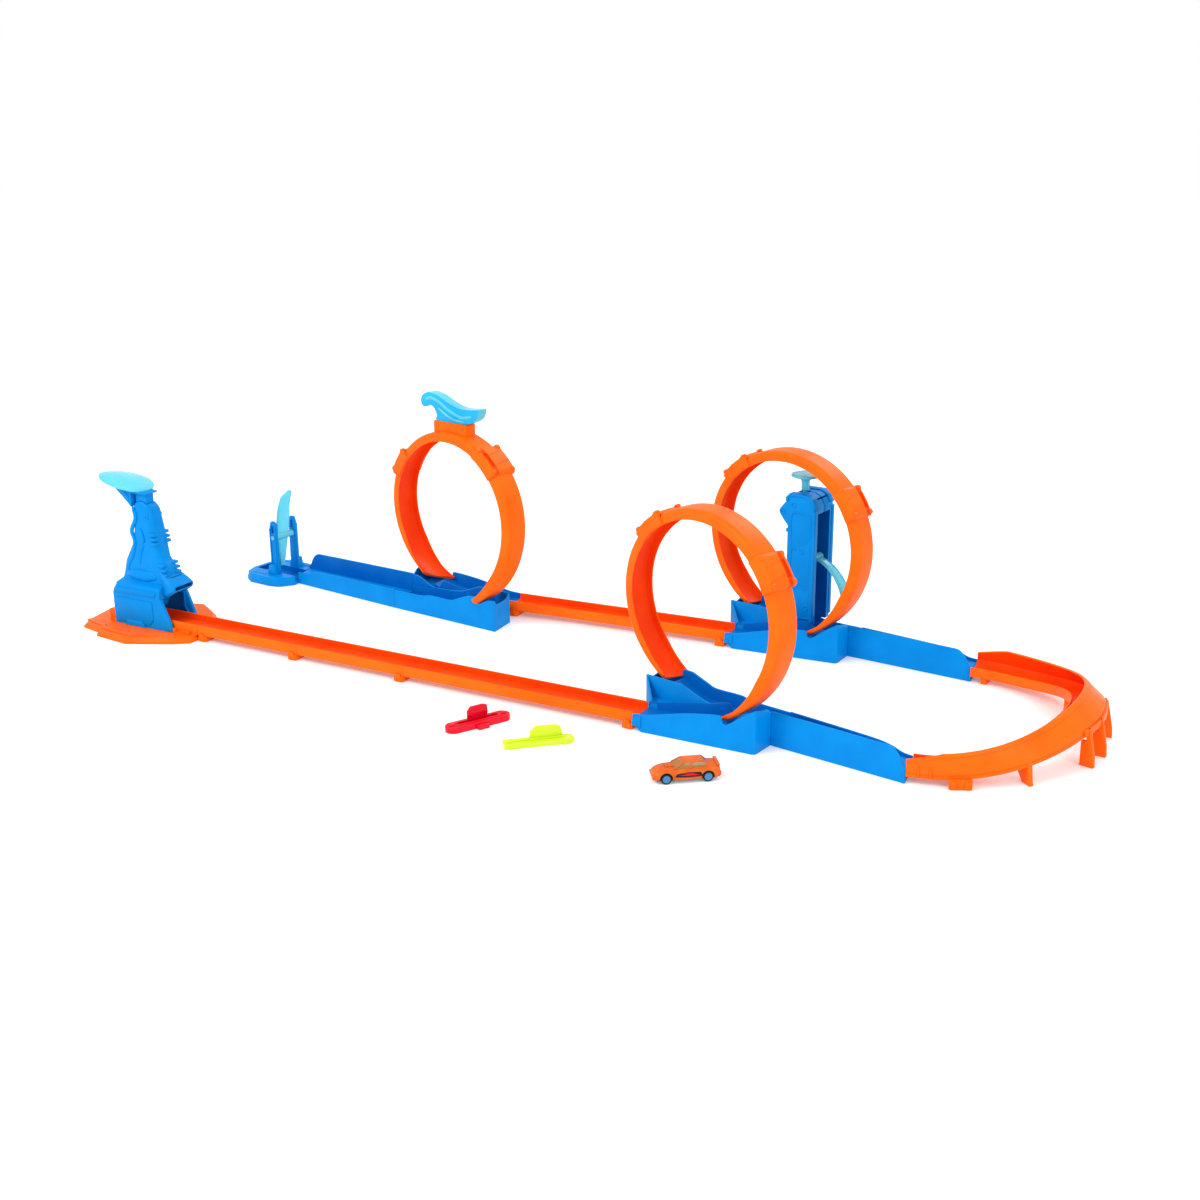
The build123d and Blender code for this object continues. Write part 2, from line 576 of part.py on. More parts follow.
PAD_LEAN = radians(10)
with BuildPart() as launcher_plunger:
    with BuildSketch(Plane(origin=(-27, 0, 223), x_dir=(cos(PAD_LEAN), 0, -sin(PAD_LEAN)),
                           z_dir=(sin(PAD_LEAN), 0, cos(PAD_LEAN)))):
        Ellipse(46, 38)
    extrude(amount=-5)
    fillet(launcher_plunger.edges(), 1.5)
    rod_low = LAUNCH_PIVOT[1] + launch_half + 3 + 1.0 + ROD_R
    with Locations((LAUNCH_ROD_X, 0, rod_low)):
        Cylinder(ROD_R, 214 - rod_low, align=MIN_Z)
        Sphere(ROD_R)
    with Locations((LAUNCH_ROD_X, 0, 171)):
        Cylinder(ROD_R + 2.6, 3, align=MIN_Z)
    with BuildSketch(side_plane(-13)):
        outline([(-31, 219), (-22, 206), (-12, 194), (-5.8, 187), (-5.8, 208.5), (17, 208.5), (17, 214)])
    extrude(amount=-26)
save(launcher_plunger.part, "launcher_slam_pad", LAUNCHER)

save(coil(147.8, 170.8, 5.6, 5, SPRING_WIRE), "launcher_spring", LAUNCHER * spot(LAUNCH_ROD_X, 0))
save(pin(PIN_R, 2 * (LAUNCH_DEPTH - SHOULDER)), "launcher_pivot_pin",
     LAUNCHER * spot(LAUNCH_PIVOT[0], 0, 0, LAUNCH_PIVOT[1]))

# ---- booster tower -------------------------------------------------------------------------------
TOWER_BACK = -TOWER_W / 2
TOWER_FRONT = TOWER_W / 2
SLOT_TOP = 198.0
TOWER_OUTLINE = [(TOWER_BACK, TOWER_FOOT), (TOWER_BACK, 178), (-27, 183), (-36, 195), (-36, 200),
                 (-27, 211), (TOWER_BACK, 214), (TOWER_BACK, TOWER_TOP), (8, TOWER_TOP), (17, 219),
                 (TOWER_FRONT, 208), (TOWER_FRONT, TOWER_FOOT)]
TOWER_DEPTH = TOWER_SLOT / 2 + TOWER_SIDE
TOWER_SCREWS = [(-12, 209), (3, 143), (12, 60)]     # close the near side wall
LOBE_SCREW = (-29.0, 198.0)                         # holds the halves together


def tower_shell(side):
    """Half of the booster tower; the car passes through the tall slot between the halves."""
    with BuildPart() as shell:
        with BuildSketch(side_plane(0)):
            outline(TOWER_OUTLINE)
        extrude(amount=-side * TOWER_DEPTH)
        # tall slot, closed at the back above the car
        with Locations((2.5, 0, 0)):
            Box(TOWER_W, TOWER_SLOT, SLOT_TOP, align=MIN_Z, mode=Mode.SUBTRACT)
        with Locations((0, 0, 0)):
            Box(TOWER_W + 2, TOWER_SLOT, 84, align=MIN_Z, mode=Mode.SUBTRACT)
        # side wall is a hollow box, open at the bottom
        with Locations((0, side * (TOWER_SLOT / 2 + TOWER_SIDE / 2), 0)):
            Box(TOWER_W - 6, TOWER_SIDE - 5, 176, align=MIN_Z, mode=Mode.SUBTRACT)
        # room above the slot for the plunger
        with BuildSketch(side_plane(0)):
            outline([(-32, 196), (-25, 187), (-19.5, 180), (-19.5, SLOT_TOP - 1), (18, SLOT_TOP - 1),
                     (18, 207), (13, 215), (7, 220), (-19.5, 220), (-19.5, 212), (-26, 208)])
        extrude(amount=-side * TOWER_SLOT / 2, mode=Mode.SUBTRACT)
        with Locations((-8.5, side * TOWER_SLOT / 4, 167)):
            Box(24, TOWER_SLOT / 2, 3)
        with Locations((BOOST_ROD_X, 0, 167)):
            Cylinder(ROD_R + ROD_CLEAR, 8, mode=Mode.SUBTRACT)
        with Locations((BOOST_ROD_X, 0, TOWER_TOP)):
            Cylinder(6.4, 12, mode=Mode.SUBTRACT)
        for x, z in TOWER_SCREWS:
            middle = Location((x, side * (TOWER_DEPTH - TOWER_SIDE / 2), z), (90, 0, 0))
            with Locations(middle):
                Cylinder(3.2, TOWER_SIDE)
                if side < 0:
                    Cylinder(SCREW_R + 0.05, TOWER_SIDE + 2, mode=Mode.SUBTRACT)
        # groove over the wall between the lanes
        with Locations(Location((18.2, -25.8, 0), (0, 0, -TOWER_TURN))):
            Box(70, 3.7, 43, align=MIN_Z, mode=Mode.SUBTRACT)
        with Locations(Location((LOBE_SCREW[0], side * TOWER_DEPTH / 2, LOBE_SCREW[1]), (90, 0, 0))):
            Cylinder(3.2, TOWER_DEPTH)
        with Locations(Location((LOBE_SCREW[0], TOWER_DEPTH, LOBE_SCREW[1]), (90, 0, 0))):
            Cylinder(SCREW_R + 0.05, 2 * TOWER_DEPTH + 17, mode=Mode.SUBTRACT)
        with Locations(Location((BOOST_PIVOT[0], 0, BOOST_PIVOT[1]), (90, 0, 0))):
            Cylinder(PIN_R + PIN_CLEAR, 2 * TOWER_DEPTH + 4, mode=Mode.SUBTRACT)
    return shell.part


save(tower_shell(-1), "booster_shell_near", TOWER)
save(tower_shell(1), "booster_shell_far", TOWER)

booster_screws = []
for x, z in TOWER_SCREWS:
    booster_screws.append(screw(SCREW_R, TOWER_SIDE - 0.5).moved(Location((x, -TOWER_DEPTH, z))))
lobe_x, lobe_z = LOBE_SCREW
lobe_screw = screw(SCREW_R, TOWER_DEPTH + 8)
booster_screws.append(lobe_screw.moved(Location((lobe_x, TOWER_DEPTH, lobe_z), (0, 0, 180))))
save(Compound(children=booster_screws), "booster_screws", TOWER)

BOOST_STUB_R = 20.0
boost_half = BOOST_TRAVEL / 2
boost_stub = (-sqrt(BOOST_STUB_R ** 2 - boost_half ** 2), boost_half)
save(lever(BOOST_PIVOT, boost_stub, (52, -50), 12, 24, 14, fin=34), "booster_kicker", TOWER)
BOOST_SWING = 2 * degrees(atan2(boost_half, -boost_stub[0]))

with BuildPart() as booster_plunger:
    rod_low = BOOST_PIVOT[1] + boost_half + 3 + 1.2 + ROD_R
    with Locations((BOOST_ROD_X, 0, rod_low)):
        Cylinder(ROD_R, 228 - rod_low, align=MIN_Z)
        Sphere(ROD_R)
    with Locations((BOOST_ROD_X, 0, 193)):
        Cylinder(ROD_R + 2.6, 3, align=MIN_Z)
    with Locations((BOOST_ROD_X, 0, 226)):
        Cylinder(6, 20, align=MIN_Z)
    with BuildSketch(Plane.XY.offset(245)) as disc:
        with Locations((BOOST_ROD_X, 0)):
            Circle(21)
    extrude(amount=5)
    fillet(booster_plunger.edges().filter_by(GeomType.CIRCLE).group_by(SortBy.RADIUS)[-1], 1.8)
save(booster_plunger.part, "booster_button", TOWER)

save(coil(168.8, 192.8, 5.6, 5, SPRING_WIRE), "booster_spring", TOWER * spot(BOOST_ROD_X, 0))
save(pin(PIN_R, 2 * TOWER_DEPTH), "booster_pivot_pin",
     TOWER * spot(BOOST_PIVOT[0], 0, 0, BOOST_PIVOT[1]))

# ---- wave ornament on the third loop --------------------------------------------------------------
LOOP_TOP = LOOP_Z + LOOP_R
WAVE_FOOT = 300.0
WAVE_T = 17.0
TOP_TURN = Location((0, LANE_OFFSET, 0), (0, 0, 180))
CREST = SET_3 * spot(0, 0, LOOP_SWING) * TOP_TURN
with BuildPart() as pedestal:
    with Locations((0, 0, LOOP_TOP - 8)):
        Box(66, 22, WAVE_FOOT - LOOP_TOP + 8, align=MIN_Z)
    fillet(pedestal.edges().filter_by(Axis.Z), 3)
    with Locations(Location((0, 0, LOOP_Z), (90, 0, 0))):
        Cylinder(LOOP_R - 1, 60, mode=Mode.SUBTRACT)
    add(strip_top.moved(TOP_TURN.inverse()), mode=Mode.SUBTRACT)
save(pedestal.part, "wave_pedestal", CREST)

with BuildPart() as wave:
    with BuildSketch(side_plane(WAVE_T / 2)):
        with BuildLine():
            over = Spline((-61, 326), (-55, 336), (-40, 341), (-22, 337.5), (0, 328.5), (26, 323), (60, 326))
            prow = Spline(over @ 1, (55, 311), (38, 302), (20, WAVE_FOOT + 0.1))
            sole = Line(prow @ 1, (-27, WAVE_FOOT + 0.1))
            hook = Spline(sole @ 1, (-29, 312), (-36, 320), (-43, 321.5))
            curl = Spline(hook @ 1, (-47, 317.5), (-55, 317), (-61, 326))
        make_face()
    extrude(amount=WAVE_T)
save(wave.part, "wave_ornament", CREST)

# ---- finish gate ----------------------------------------------------------------------------------
GATE = SET_3 * spot(366, -2.5, -10)
POST_Y = 21.5
POST_T = 5.0
GATE_Z = 74.0
GATE_PIN_R = 3.5
with BuildPart() as finish_plate:
    with BuildSketch():
        with BuildLine():
            Polyline((-40.9, 21), (-36, 30), (-26, 44), (-8, 49), (34, 49), (52, 38), (60, 18),
                     (60, -18), (52, -38), (34, -49), (-10, -49), (-24, -44), (-29, -21), close=True)
        make_face()
        fillet(vertices(), 3)
    extrude(amount=14)
    with Locations((0, 0, 6)):
        Box(100, 34, 20, align=MIN_Z, mode=Mode.SUBTRACT)
    with Locations((11, 0, -1)):
        Box(64, 76, 5, align=MIN_Z, mode=Mode.SUBTRACT)
    for side in (-1, 1):
        with BuildSketch(side_plane(side * POST_Y - POST_T / 2 + POST_T)):
            outline([(-11, 13), (11, 13), (8, 26), (7, 95), (4, 102), (-4, 102), (-7, 95), (-8, 26)])
            with Locations((0, 88)):
                SlotOverall(17, 6, rotation=90, mode=Mode.SUBTRACT)
            with Locations((0, GATE_Z)):
                Circle(GATE_PIN_R + PIN_CLEAR, mode=Mode.SUBTRACT)
        extrude(amount=POST_T)
save(finish_plate.part, "finish_gate_base", GATE)

with BuildPart() as finish_fin:
    with Locations(Location((0, 0, GATE_Z), (90, 0, 0))):
        Cylinder(GATE_PIN_R, 2 * POST_Y + POST_T + 3)
        Cylinder(5.5, 2 * POST_Y - POST_T - 2)
    with BuildSketch(Plane.YZ.offset(-2)):
        with BuildLine():
            back = Spline((11, 24), (14, 60), (13, 100), (3, 132), (-18, 147))
            tip = Line(back @ 1, (-24, 144))
            front = Spline(tip @ 1, (-17, 122), (-15, 104), (-8, 70), (3, 24))
            foot = Line(front @ 1, back @ 0)
        make_face()
    extrude(amount=4)
save(finish_fin.part, "finish_fin", GATE)

# ---- car ------------------------------------------------------------------------------------------
CAR = spot(*CAR_AT, CAR_TURN)
AXLES = {"front": WHEELBASE / 2, "rear": -WHEELBASE / 2}
CAR_HALF = 14.5
WHEEL_W = 5.0
SILL = 6.0


def cabin(low, low_size, high, high_size):
    """A tapering block for the cabin, between two heights."""
    with BuildPart() as block:
        with BuildSketch(Plane.XY.offset(low)):
            with Locations((-6, 0)):
                Rectangle(*low_size)
        with BuildSketch(Plane.XY.offset(high)):
            with Locations((-8, 0)):
                Rectangle(*high_size)
        loft()
    return block.part


with BuildPart() as car_body:
    with BuildSketch(side_plane(CAR_HALF)):
        outline([(-40, 8), (-40, 16.5), (-36, 18.5), (-14, 18.5), (16, 17.5), (36, 14.5), (40, 11),
                 (40, SILL), (-36, SILL)])
    extrude(amount=2 * CAR_HALF)
    fillet(car_body.edges().filter_by(Axis.Z), 1.5)
    add(cabin(18, (46, 25), 25, (24, 19)))
    add(cabin(10, (50, 24), 23.6, (26, 17.4)), mode=Mode.SUBTRACT)
    with Locations((0, 0, SILL - 1)):
        Box(72, 25, 6, align=MIN_Z, mode=Mode.SUBTRACT)
    # side windows, then windscreen and rear window
    with Locations((-8, 0, 21.2)):
        Box(22, 40, 3.0, mode=Mode.SUBTRACT)
        Box(60, 15, 3.0, mode=Mode.SUBTRACT)
    for x in AXLES.values():
        with Locations(Location((x, 0, WHEEL_R + 0.5), (90, 0, 0))):
            Cylinder(WHEEL_R + 1.3, 60, mode=Mode.SUBTRACT)
save(car_body.part, "car_body", CAR)

with BuildPart() as car_windows:
    add(cabin(10, (49.6, 23.6), 23.5, (25.8, 17.1)))
    add(cabin(9.9, (47.4, 21.4), 22.6, (24.0, 15.2)), mode=Mode.SUBTRACT)
    with Locations((0, 0, 0)):
        Box(90, 40, 17.5, align=MIN_Z, mode=Mode.SUBTRACT)
save(car_windows.part, "car_windows", CAR)

with BuildPart() as car_chassis:
    with Locations((0, 0, 3.9)):
        Box(72, 28, SILL - 3.9, align=MIN_Z)
    for x in AXLES.values():
        with Locations((x, 0, 0)):
            Box(2 * WHEEL_R + 3, 60, 20, mode=Mode.SUBTRACT)
        with Locations((x, 0, 3.9)):
            Box(2 * WHEEL_R + 3, 17, SILL - 3.9, align=MIN_Z)
            Box(5, 17, 5.5, align=MIN_Z)
        with Locations(Location((x, 0, WHEEL_R), (90, 0, 0))):
            Cylinder(AXLE_R + AXLE_CLEAR, 60, mode=Mode.SUBTRACT)
save(car_chassis.part, "car_chassis", CAR)

for end, x in AXLES.items():
    with BuildPart() as axle:
        with Locations(Location((x, 0, WHEEL_R), (90, 0, 0))):
            Cylinder(AXLE_R, WHEEL_TRACK + WHEEL_W)
    save(axle.part, f"car_{end}_axle", CAR)
    wheels = []
    for side in (-1, 1):
        with BuildPart() as wheel:
            with Locations(Location((x, side * WHEEL_TRACK / 2, WHEEL_R), (90, 0, 0))):
                Cylinder(WHEEL_R, WHEEL_W)
            fillet(wheel.edges(), 0.5)
            with Locations(Location((x, side * (WHEEL_TRACK / 2 + 2), WHEEL_R), (90, 0, 0))):
                Cylinder(WHEEL_R - 2.2, 2, mode=Mode.SUBTRACT)
            with Locations(Location((x, side * (WHEEL_TRACK / 2 + 1.4), WHEEL_R), (90, 0, 0))):
                Cylinder(1.8, 2)
            with Locations(Location((x, 0, WHEEL_R), (90, 0, 0))):
                Cylinder(AXLE_R + 0.03, 60, mode=Mode.SUBTRACT)
        wheels.append(wheel.part)
    save(Compound(children=wheels), f"car_{end}_wheels", CAR)

# ---- loose clips -----------------------------------------------------------------------------------
with BuildPart() as red_clip:
    with BuildSketch():
        SlotOverall(92, 22)
        SlotOverall(60, 7, mode=Mode.SUBTRACT)
    extrude(amount=8)
    with Locations((3, 8, 5)):
        Box(28, 3.5, 19, align=MIN_Z)
    with Locations((0, -12.5, 0)):
        Box(16, 6, 5, align=MIN_Z)
save(red_clip.part, "red_clip", spot(*RED_AT, RED_TURN))

with BuildPart() as lime_clip:
    with BuildSketch():
        SlotOverall(88, 15)
    extrude(amount=6)
    with Locations((8, 3, 4)):
        Box(40, 3, 19, align=MIN_Z)
    with Locations((31, 0, 0)):
        Box(9, 22, 4, align=MIN_Z)
save(lime_clip.part, "lime_clip", spot(*LIME_AT, LIME_TURN))
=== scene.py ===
import json
from math import atan2, cos, hypot, pi, radians, sin

import bmesh
import bpy
from mathutils import Matrix, Vector


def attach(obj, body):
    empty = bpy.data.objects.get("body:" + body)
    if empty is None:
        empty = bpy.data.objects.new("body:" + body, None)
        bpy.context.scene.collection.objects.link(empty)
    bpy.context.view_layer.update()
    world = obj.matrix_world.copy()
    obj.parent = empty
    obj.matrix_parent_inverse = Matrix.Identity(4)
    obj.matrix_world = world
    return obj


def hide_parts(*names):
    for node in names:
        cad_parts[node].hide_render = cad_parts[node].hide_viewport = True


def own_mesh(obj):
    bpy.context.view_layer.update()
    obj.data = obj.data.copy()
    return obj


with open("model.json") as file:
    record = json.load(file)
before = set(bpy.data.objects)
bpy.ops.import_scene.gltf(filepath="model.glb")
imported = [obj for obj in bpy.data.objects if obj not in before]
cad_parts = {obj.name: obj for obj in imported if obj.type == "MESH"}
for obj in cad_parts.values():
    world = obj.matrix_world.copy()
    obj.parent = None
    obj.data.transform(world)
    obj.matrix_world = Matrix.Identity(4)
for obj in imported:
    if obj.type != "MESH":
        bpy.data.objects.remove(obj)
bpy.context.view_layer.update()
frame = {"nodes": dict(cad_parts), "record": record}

MM = 0.001
SOFTEN_ABOVE, SMOOTH_BELOW = 28, 35  # edge angles that get a bevel, and that shade smooth
WALL_THICK, WALL_RIM = 2.5, 1.1


# ---- mesh code, in millimetres ----
def spot(x, y, turn=0.0, z=0.0):
    """A place on the floor and a heading."""
    return Matrix.Translation((x * MM, y * MM, z * MM)) @ Matrix.Rotation(radians(turn), 4, "Z")


def soften(bm, width, segments=2):
    """Round the edges that turn by more than an angle."""
    if width:
        edges = [e for e in bm.edges if len(e.link_faces) == 2 and e.calc_face_angle() > radians(SOFTEN_ABOVE)]
        bmesh.ops.bevel(bm, geom=edges, offset=width, offset_type="OFFSET", segments=segments,
                        profile=0.5, affect="EDGES", clamp_overlap=True)
    return bm


def tone(bm, index):
    for face in bm.faces:
        face.material_index = index
    return bm


AXES = {"XY": lambda a, b, h: (a, b, h), "XZ": lambda a, b, h: (a, h, b), "YZ": lambda a, b, h: (h, a, b)}


def prism(points, low, high, plane="XY", bevel=0.0, top=None, segments=2):
    """A solid with the given outline between two levels; top may be another outline."""
    at = AXES[plane]
    bm = bmesh.new()
    lower = [bm.verts.new(at(a, b, low)) for a, b in points]
    upper = [bm.verts.new(at(a, b, high)) for a, b in (top or points)]
    bm.faces.new(lower)
    bm.faces.new(upper)
    count = len(points)
    for i in range(count):
        bm.faces.new((lower[i], lower[(i + 1) % count], upper[(i + 1) % count], upper[i]))
    bmesh.ops.recalc_face_normals(bm, faces=bm.faces)
    return soften(bm, bevel, segments)


def block(x0, x1, y0, y1, z0, z1, bevel=0.0, segments=2):
    return prism([(x0, y0), (x1, y0), (x1, y1), (x0, y1)], z0, z1, "XY", bevel, segments=segments)


def loft(rings, tones=None):
    """A skin over rings of points, with closed ends."""
    bm = bmesh.new()
    rows = [[bm.verts.new(p) for p in ring] for ring in rings]
    count = len(rings[0])
    for a, b in zip(rows, rows[1:]):
        for i in range(count):
            face = bm.faces.new((a[i], a[(i + 1) % count], b[(i + 1) % count], b[i]))
            if tones:
                face.material_index = tones[i]
    bm.faces.new(rows[0])
    bm.faces.new(rows[-1])
    bmesh.ops.recalc_face_normals(bm, faces=bm.faces)
    return bm


def lathe(profile, count=40, x=0.0):
    """A solid turned about an upright axis from (radius, z) points."""
    turns = [2 * pi * i / count for i in range(count)]
    return loft([[(x + r * cos(t), r * sin(t), z) for t in turns] for r, z in profile])


def spline(points, steps=6):
    """A smooth line through points of any size, as a dense list."""
    vecs = [Vector(p) for p in points]
    out = []
    for i in range(len(vecs) - 1):
        a = vecs[max(i - 1, 0)]
        b, c = vecs[i], vecs[i + 1]
        d = vecs[min(i + 2, len(vecs) - 1)]
        for k in range(steps):
            t = k / steps
            out.append(tuple(0.5 * ((2 * b) + (c - a) * t + (2 * a - 5 * b + 4 * c - d) * t * t
                                    + (3 * b - a - 3 * c + d) * t ** 3)))
    out.append(tuple(vecs[-1]))
    return out


def level(points, s):
    """Height at s on a line of (s, height) points."""
    if s <= points[0][0]:
        return points[0][1]
    for (a, ha), (b, hb) in zip(points, points[1:]):
        if s <= b:
            return ha + (hb - ha) * (s - a) / max(b - a, 1e-9)
    return points[-1][1]


def walk(points, step=4.0, radius=0.0):
    """Dense plan path along corners, with rounded corners; gives (x, y, distance)."""
    line = [Vector(points[0])]
    for a, b, c in zip(points, points[1:], points[2:]):
        a, b, c = Vector(a), Vector(b), Vector(c)
        back, ahead = (a - b).normalized(), (c - b).normalized()
        reach = min(radius, (a - b).length / 2, (c - b).length / 2)
        if reach < 0.01:
            line.append(b)
            continue
        p, q = b + back * reach, b + ahead * reach
        line += [p * (1 - t) ** 2 + b * 2 * t * (1 - t) + q * t * t for t in (0, 0.2, 0.4, 0.6, 0.8, 1)]
    line.append(Vector(points[-1]))
    out, run = [(line[0].x, line[0].y, 0.0)], 0.0
    for a, b in zip(line, line[1:]):
        length = (b - a).length
        parts = max(1, int(length / step))
        for k in range(1, parts + 1):
            p = a + (b - a) * k / parts
            out.append((p.x, p.y, run + length * k / parts))
        run += length
    return out


def wall(points, low, high, radius=0.0, tones=(0, 1), step=4.0):
    """A wall along a plan path, thick towards the left of the run, with a rounded rim; its left face takes the
    second tone, painted shade in the channel.
    """
    path = walk(points, step, radius)
    rings = []
    for i, (x, y, s) in enumerate(path):
        x0, y0, _ = path[max(i - 1, 0)]
        x1, y1, _ = path[min(i + 1, len(path) - 1)]
        size = hypot(x1 - x0, y1 - y0)
        nx, ny = -(y1 - y0) / size, (x1 - x0) / size
        z0, z1 = level(low, s), level(high, s)
        r = min(WALL_RIM, WALL_THICK / 2, max((z1 - z0) / 3, 0.05))
        shape = [(0, z0), (0, z1 - r), (0.3 * r, z1 - 0.3 * r), (r, z1), (WALL_THICK - r, z1),
                 (WALL_THICK - 0.3 * r, z1 - 0.3 * r), (WALL_THICK, z1 - r), (WALL_THICK, z0)]
        rings.append([(x + nx * o, y + ny * o, z) for o, z in shape])
    # the left face takes the second tone, the darker painted shade of the channel
    out, inside = tones
    return loft(rings, mat_tones((out, 6), (inside, 1), (out, 1)))


def tube(path, radius, count=12):
    """A round bar along a path; radius may be a list."""
    rings = []
    for i, p in enumerate(path):
        a = Vector(path[max(i - 1, 0)])
        b = Vector(path[min(i + 1, len(path) - 1)])
        ahead = (b - a).normalized()
        side = ahead.cross(Vector((0, 1, 0)))
        side = side.normalized() if side.length > 0.01 else Vector((1, 0, 0))
        up = ahead.cross(side).normalized()
        r = radius[i] if isinstance(radius, (list, tuple)) else radius
        rings.append([Vector(p) + side * r * cos(t) + up * r * sin(t)
                      for t in (2 * pi * k / count for k in range(count))])
    return loft(rings)


def hold(bm):
    mesh = bpy.data.meshes.new("hold")
    bm.to_mesh(mesh)
    thing = bpy.data.objects.new("hold", mesh)
    bpy.context.scene.collection.objects.link(thing)
    return thing


def carve(body, cutters, cut_tone=None):
    """Cut solids out of a solid."""
    host = hold(body)
    tools = []
    for cutter in cutters:
        if cut_tone is not None:
            tone(cutter, cut_tone)
        tool = hold(cutter)
        cut = host.modifiers.new("cut", "BOOLEAN")
        cut.operation, cut.solver, cut.object = "DIFFERENCE", "EXACT", tool
        tools.append(tool)
    bpy.context.view_layer.update()
    graph = bpy.context.evaluated_depsgraph_get()
    result = bpy.data.meshes.new_from_object(host.evaluated_get(graph))
    made = bmesh.new()
    made.from_mesh(result)
    for thing in [host] + tools:
        mesh = thing.data
        bpy.data.objects.remove(thing)
        bpy.data.meshes.remove(mesh)
    bpy.data.meshes.remove(result)
    bmesh.ops.remove_doubles(made, verts=made.verts, dist=0.002)
    return made


def gather(*parts):
    """Several solids as one mesh."""
    whole = bmesh.new()
    for part in parts:
        mesh = bpy.data.meshes.new("part")
        part.to_mesh(mesh)
        whole.from_mesh(mesh)
        bpy.data.meshes.remove(mesh)
    return whole


def moved(bm, x=0.0, y=0.0, z=0.0, turn=0.0):
    """A solid turned about Z and then shifted."""
    bm.transform(Matrix.Translation((x, y, z)) @ Matrix.Rotation(radians(turn), 4, "Z"))
    return bm


def facing(bm, side):
    """An upright solid turned so that its top looks out of one side face."""
    bm.transform(Matrix.Rotation(radians(-90 * side), 4, "X"))
    return bm


def span(side, inner, outer):
    """The range between two distances on one side of the middle plane."""
    return sorted((side * inner, side * outer))


def mat_tones(*runs):
    """Material index of each face round a section, from (index, count) runs."""
    return [index for index, count in runs for _ in range(count)]


def skin(name, bm, materials):
    """A finished mesh in metres."""
    bmesh.ops.triangulate(bm, faces=[f for f in bm.faces if len(f.verts) > 4])
    mesh = bpy.data.meshes.new(name)
    bm.to_mesh(mesh)
    mesh.transform(Matrix.Scale(MM, 4))
    for material in materials:
        mesh.materials.append(material)
    mesh.shade_smooth()
    mesh.set_sharp_from_angle(angle=radians(SMOOTH_BELOW))
    return mesh


def piece(name, mesh, place, body, slot, *nodes):
    """One visible piece on a body, standing for CAD nodes."""
    thing = bpy.data.objects.new(name, mesh)
    bpy.context.scene.collection.objects.link(thing)
    thing.matrix_world = place
    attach(thing, body)
    if nodes:
        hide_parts(*nodes)
    return thing


def show(name, solid, materials, place, body, slot, *nodes):
    """A piece made from a solid; its mesh drops the piece's ending."""
    return piece(name, skin(name.removesuffix("_look"), solid, materials), place, body, slot, *nodes)


# ---- materials ----
def nodes_of(material):
    material.use_nodes = True
    tree = material.node_tree
    shader = next(n for n in tree.nodes if n.type == "BSDF_PRINCIPLED")
    return tree, shader


def noise(tree, coords, scale, detail=3.0, stretch=(1, 1, 1)):
    mapping = tree.nodes.new("ShaderNodeMapping")
    mapping.inputs["Scale"].default_value = stretch
    tree.links.new(coords, mapping.inputs["Vector"])
    texture = tree.nodes.new("ShaderNodeTexNoise")
    texture.inputs["Scale"].default_value = scale
    texture.inputs["Detail"].default_value = detail
    tree.links.new(mapping.outputs["Vector"], texture.inputs["Vector"])
    return texture.outputs["Fac"]


def spread(tree, value, low, high, start=0.3, end=0.7):
    """Map a noise value to a range."""
    ranged = tree.nodes.new("ShaderNodeMapRange")
    for name, number in (("From Min", start), ("From Max", end), ("To Min", low), ("To Max", high)):
        ranged.inputs[name].default_value = number
    tree.links.new(value, ranged.inputs["Value"])
    return ranged.outputs["Result"]


def tint(tree, factor, first, second):
    mix = tree.nodes.new("ShaderNodeMix")
    mix.data_type = "RGBA"
    mix.inputs["A"].default_value = (*first, 1)
    mix.inputs["B"].default_value = (*second, 1)
    tree.links.new(factor, mix.inputs["Factor"])
    return mix.outputs["Result"]


def emboss(tree, shader, height, strength, distance):
    """Bump a shader with a height value."""
    bump = tree.nodes.new("ShaderNodeBump")
    bump.inputs["Strength"].default_value = strength
    bump.inputs["Distance"].default_value = distance
    tree.links.new(height, bump.inputs["Height"])
    tree.links.new(bump.outputs["Normal"], shader.inputs["Normal"])


def plastic(name, first, second, rough=(0.30, 0.42), grain=0.10, clear=0.0, coat=0.02,
            drift_scale=22.0):
    """Moulded plastic: slow colour drift, flow marks in the gloss, and a fine moulded grain."""
    material = bpy.data.materials.new(name)
    tree, shader = nodes_of(material)
    coords = tree.nodes.new("ShaderNodeTexCoord").outputs["Object"]
    drift = noise(tree, coords, drift_scale, 4.0)
    tree.links.new(tint(tree, spread(tree, drift, 0, 1), first, second), shader.inputs["Base Color"])
    flow = noise(tree, coords, 60.0, 5.0, (1, 1, 0.35))
    tree.links.new(spread(tree, flow, *rough), shader.inputs["Roughness"])
    fine = noise(tree, coords, 1400.0, 2.0)
    wide = noise(tree, coords, 45.0, 2.0)
    joined = tree.nodes.new("ShaderNodeMath")
    joined.operation = "MULTIPLY_ADD"
    joined.inputs[1].default_value = 0.25
    tree.links.new(fine, joined.inputs[0])
    tree.links.new(wide, joined.inputs[2])
    emboss(tree, shader, joined.outputs[0], grain, 0.0006)
    for socket, value in (("Coat Weight", coat), ("Coat Roughness", 0.18), ("Transmission Weight", clear),
                          ("IOR", 1.46), ("Specular IOR Level", 0.06)):
        shader.inputs[socket].default_value = value
    return material


def metal(name, colour, rough):
    material = bpy.data.materials.new(name)
    tree, shader = nodes_of(material)
    coords = tree.nodes.new("ShaderNodeTexCoord").outputs["Object"]
    streak = noise(tree, coords, 300.0, 3.0, (1, 1, 6))
    dark = tuple(c * 0.7 for c in colour)
    tree.links.new(tint(tree, spread(tree, streak, 0, 1), dark, colour), shader.inputs["Base Color"])
    tree.links.new(spread(tree, streak, rough, rough + 0.15), shader.inputs["Roughness"])
    emboss(tree, shader, streak, 0.08, 0.0003)
    shader.inputs["Metallic"].default_value = 1.0
    return material


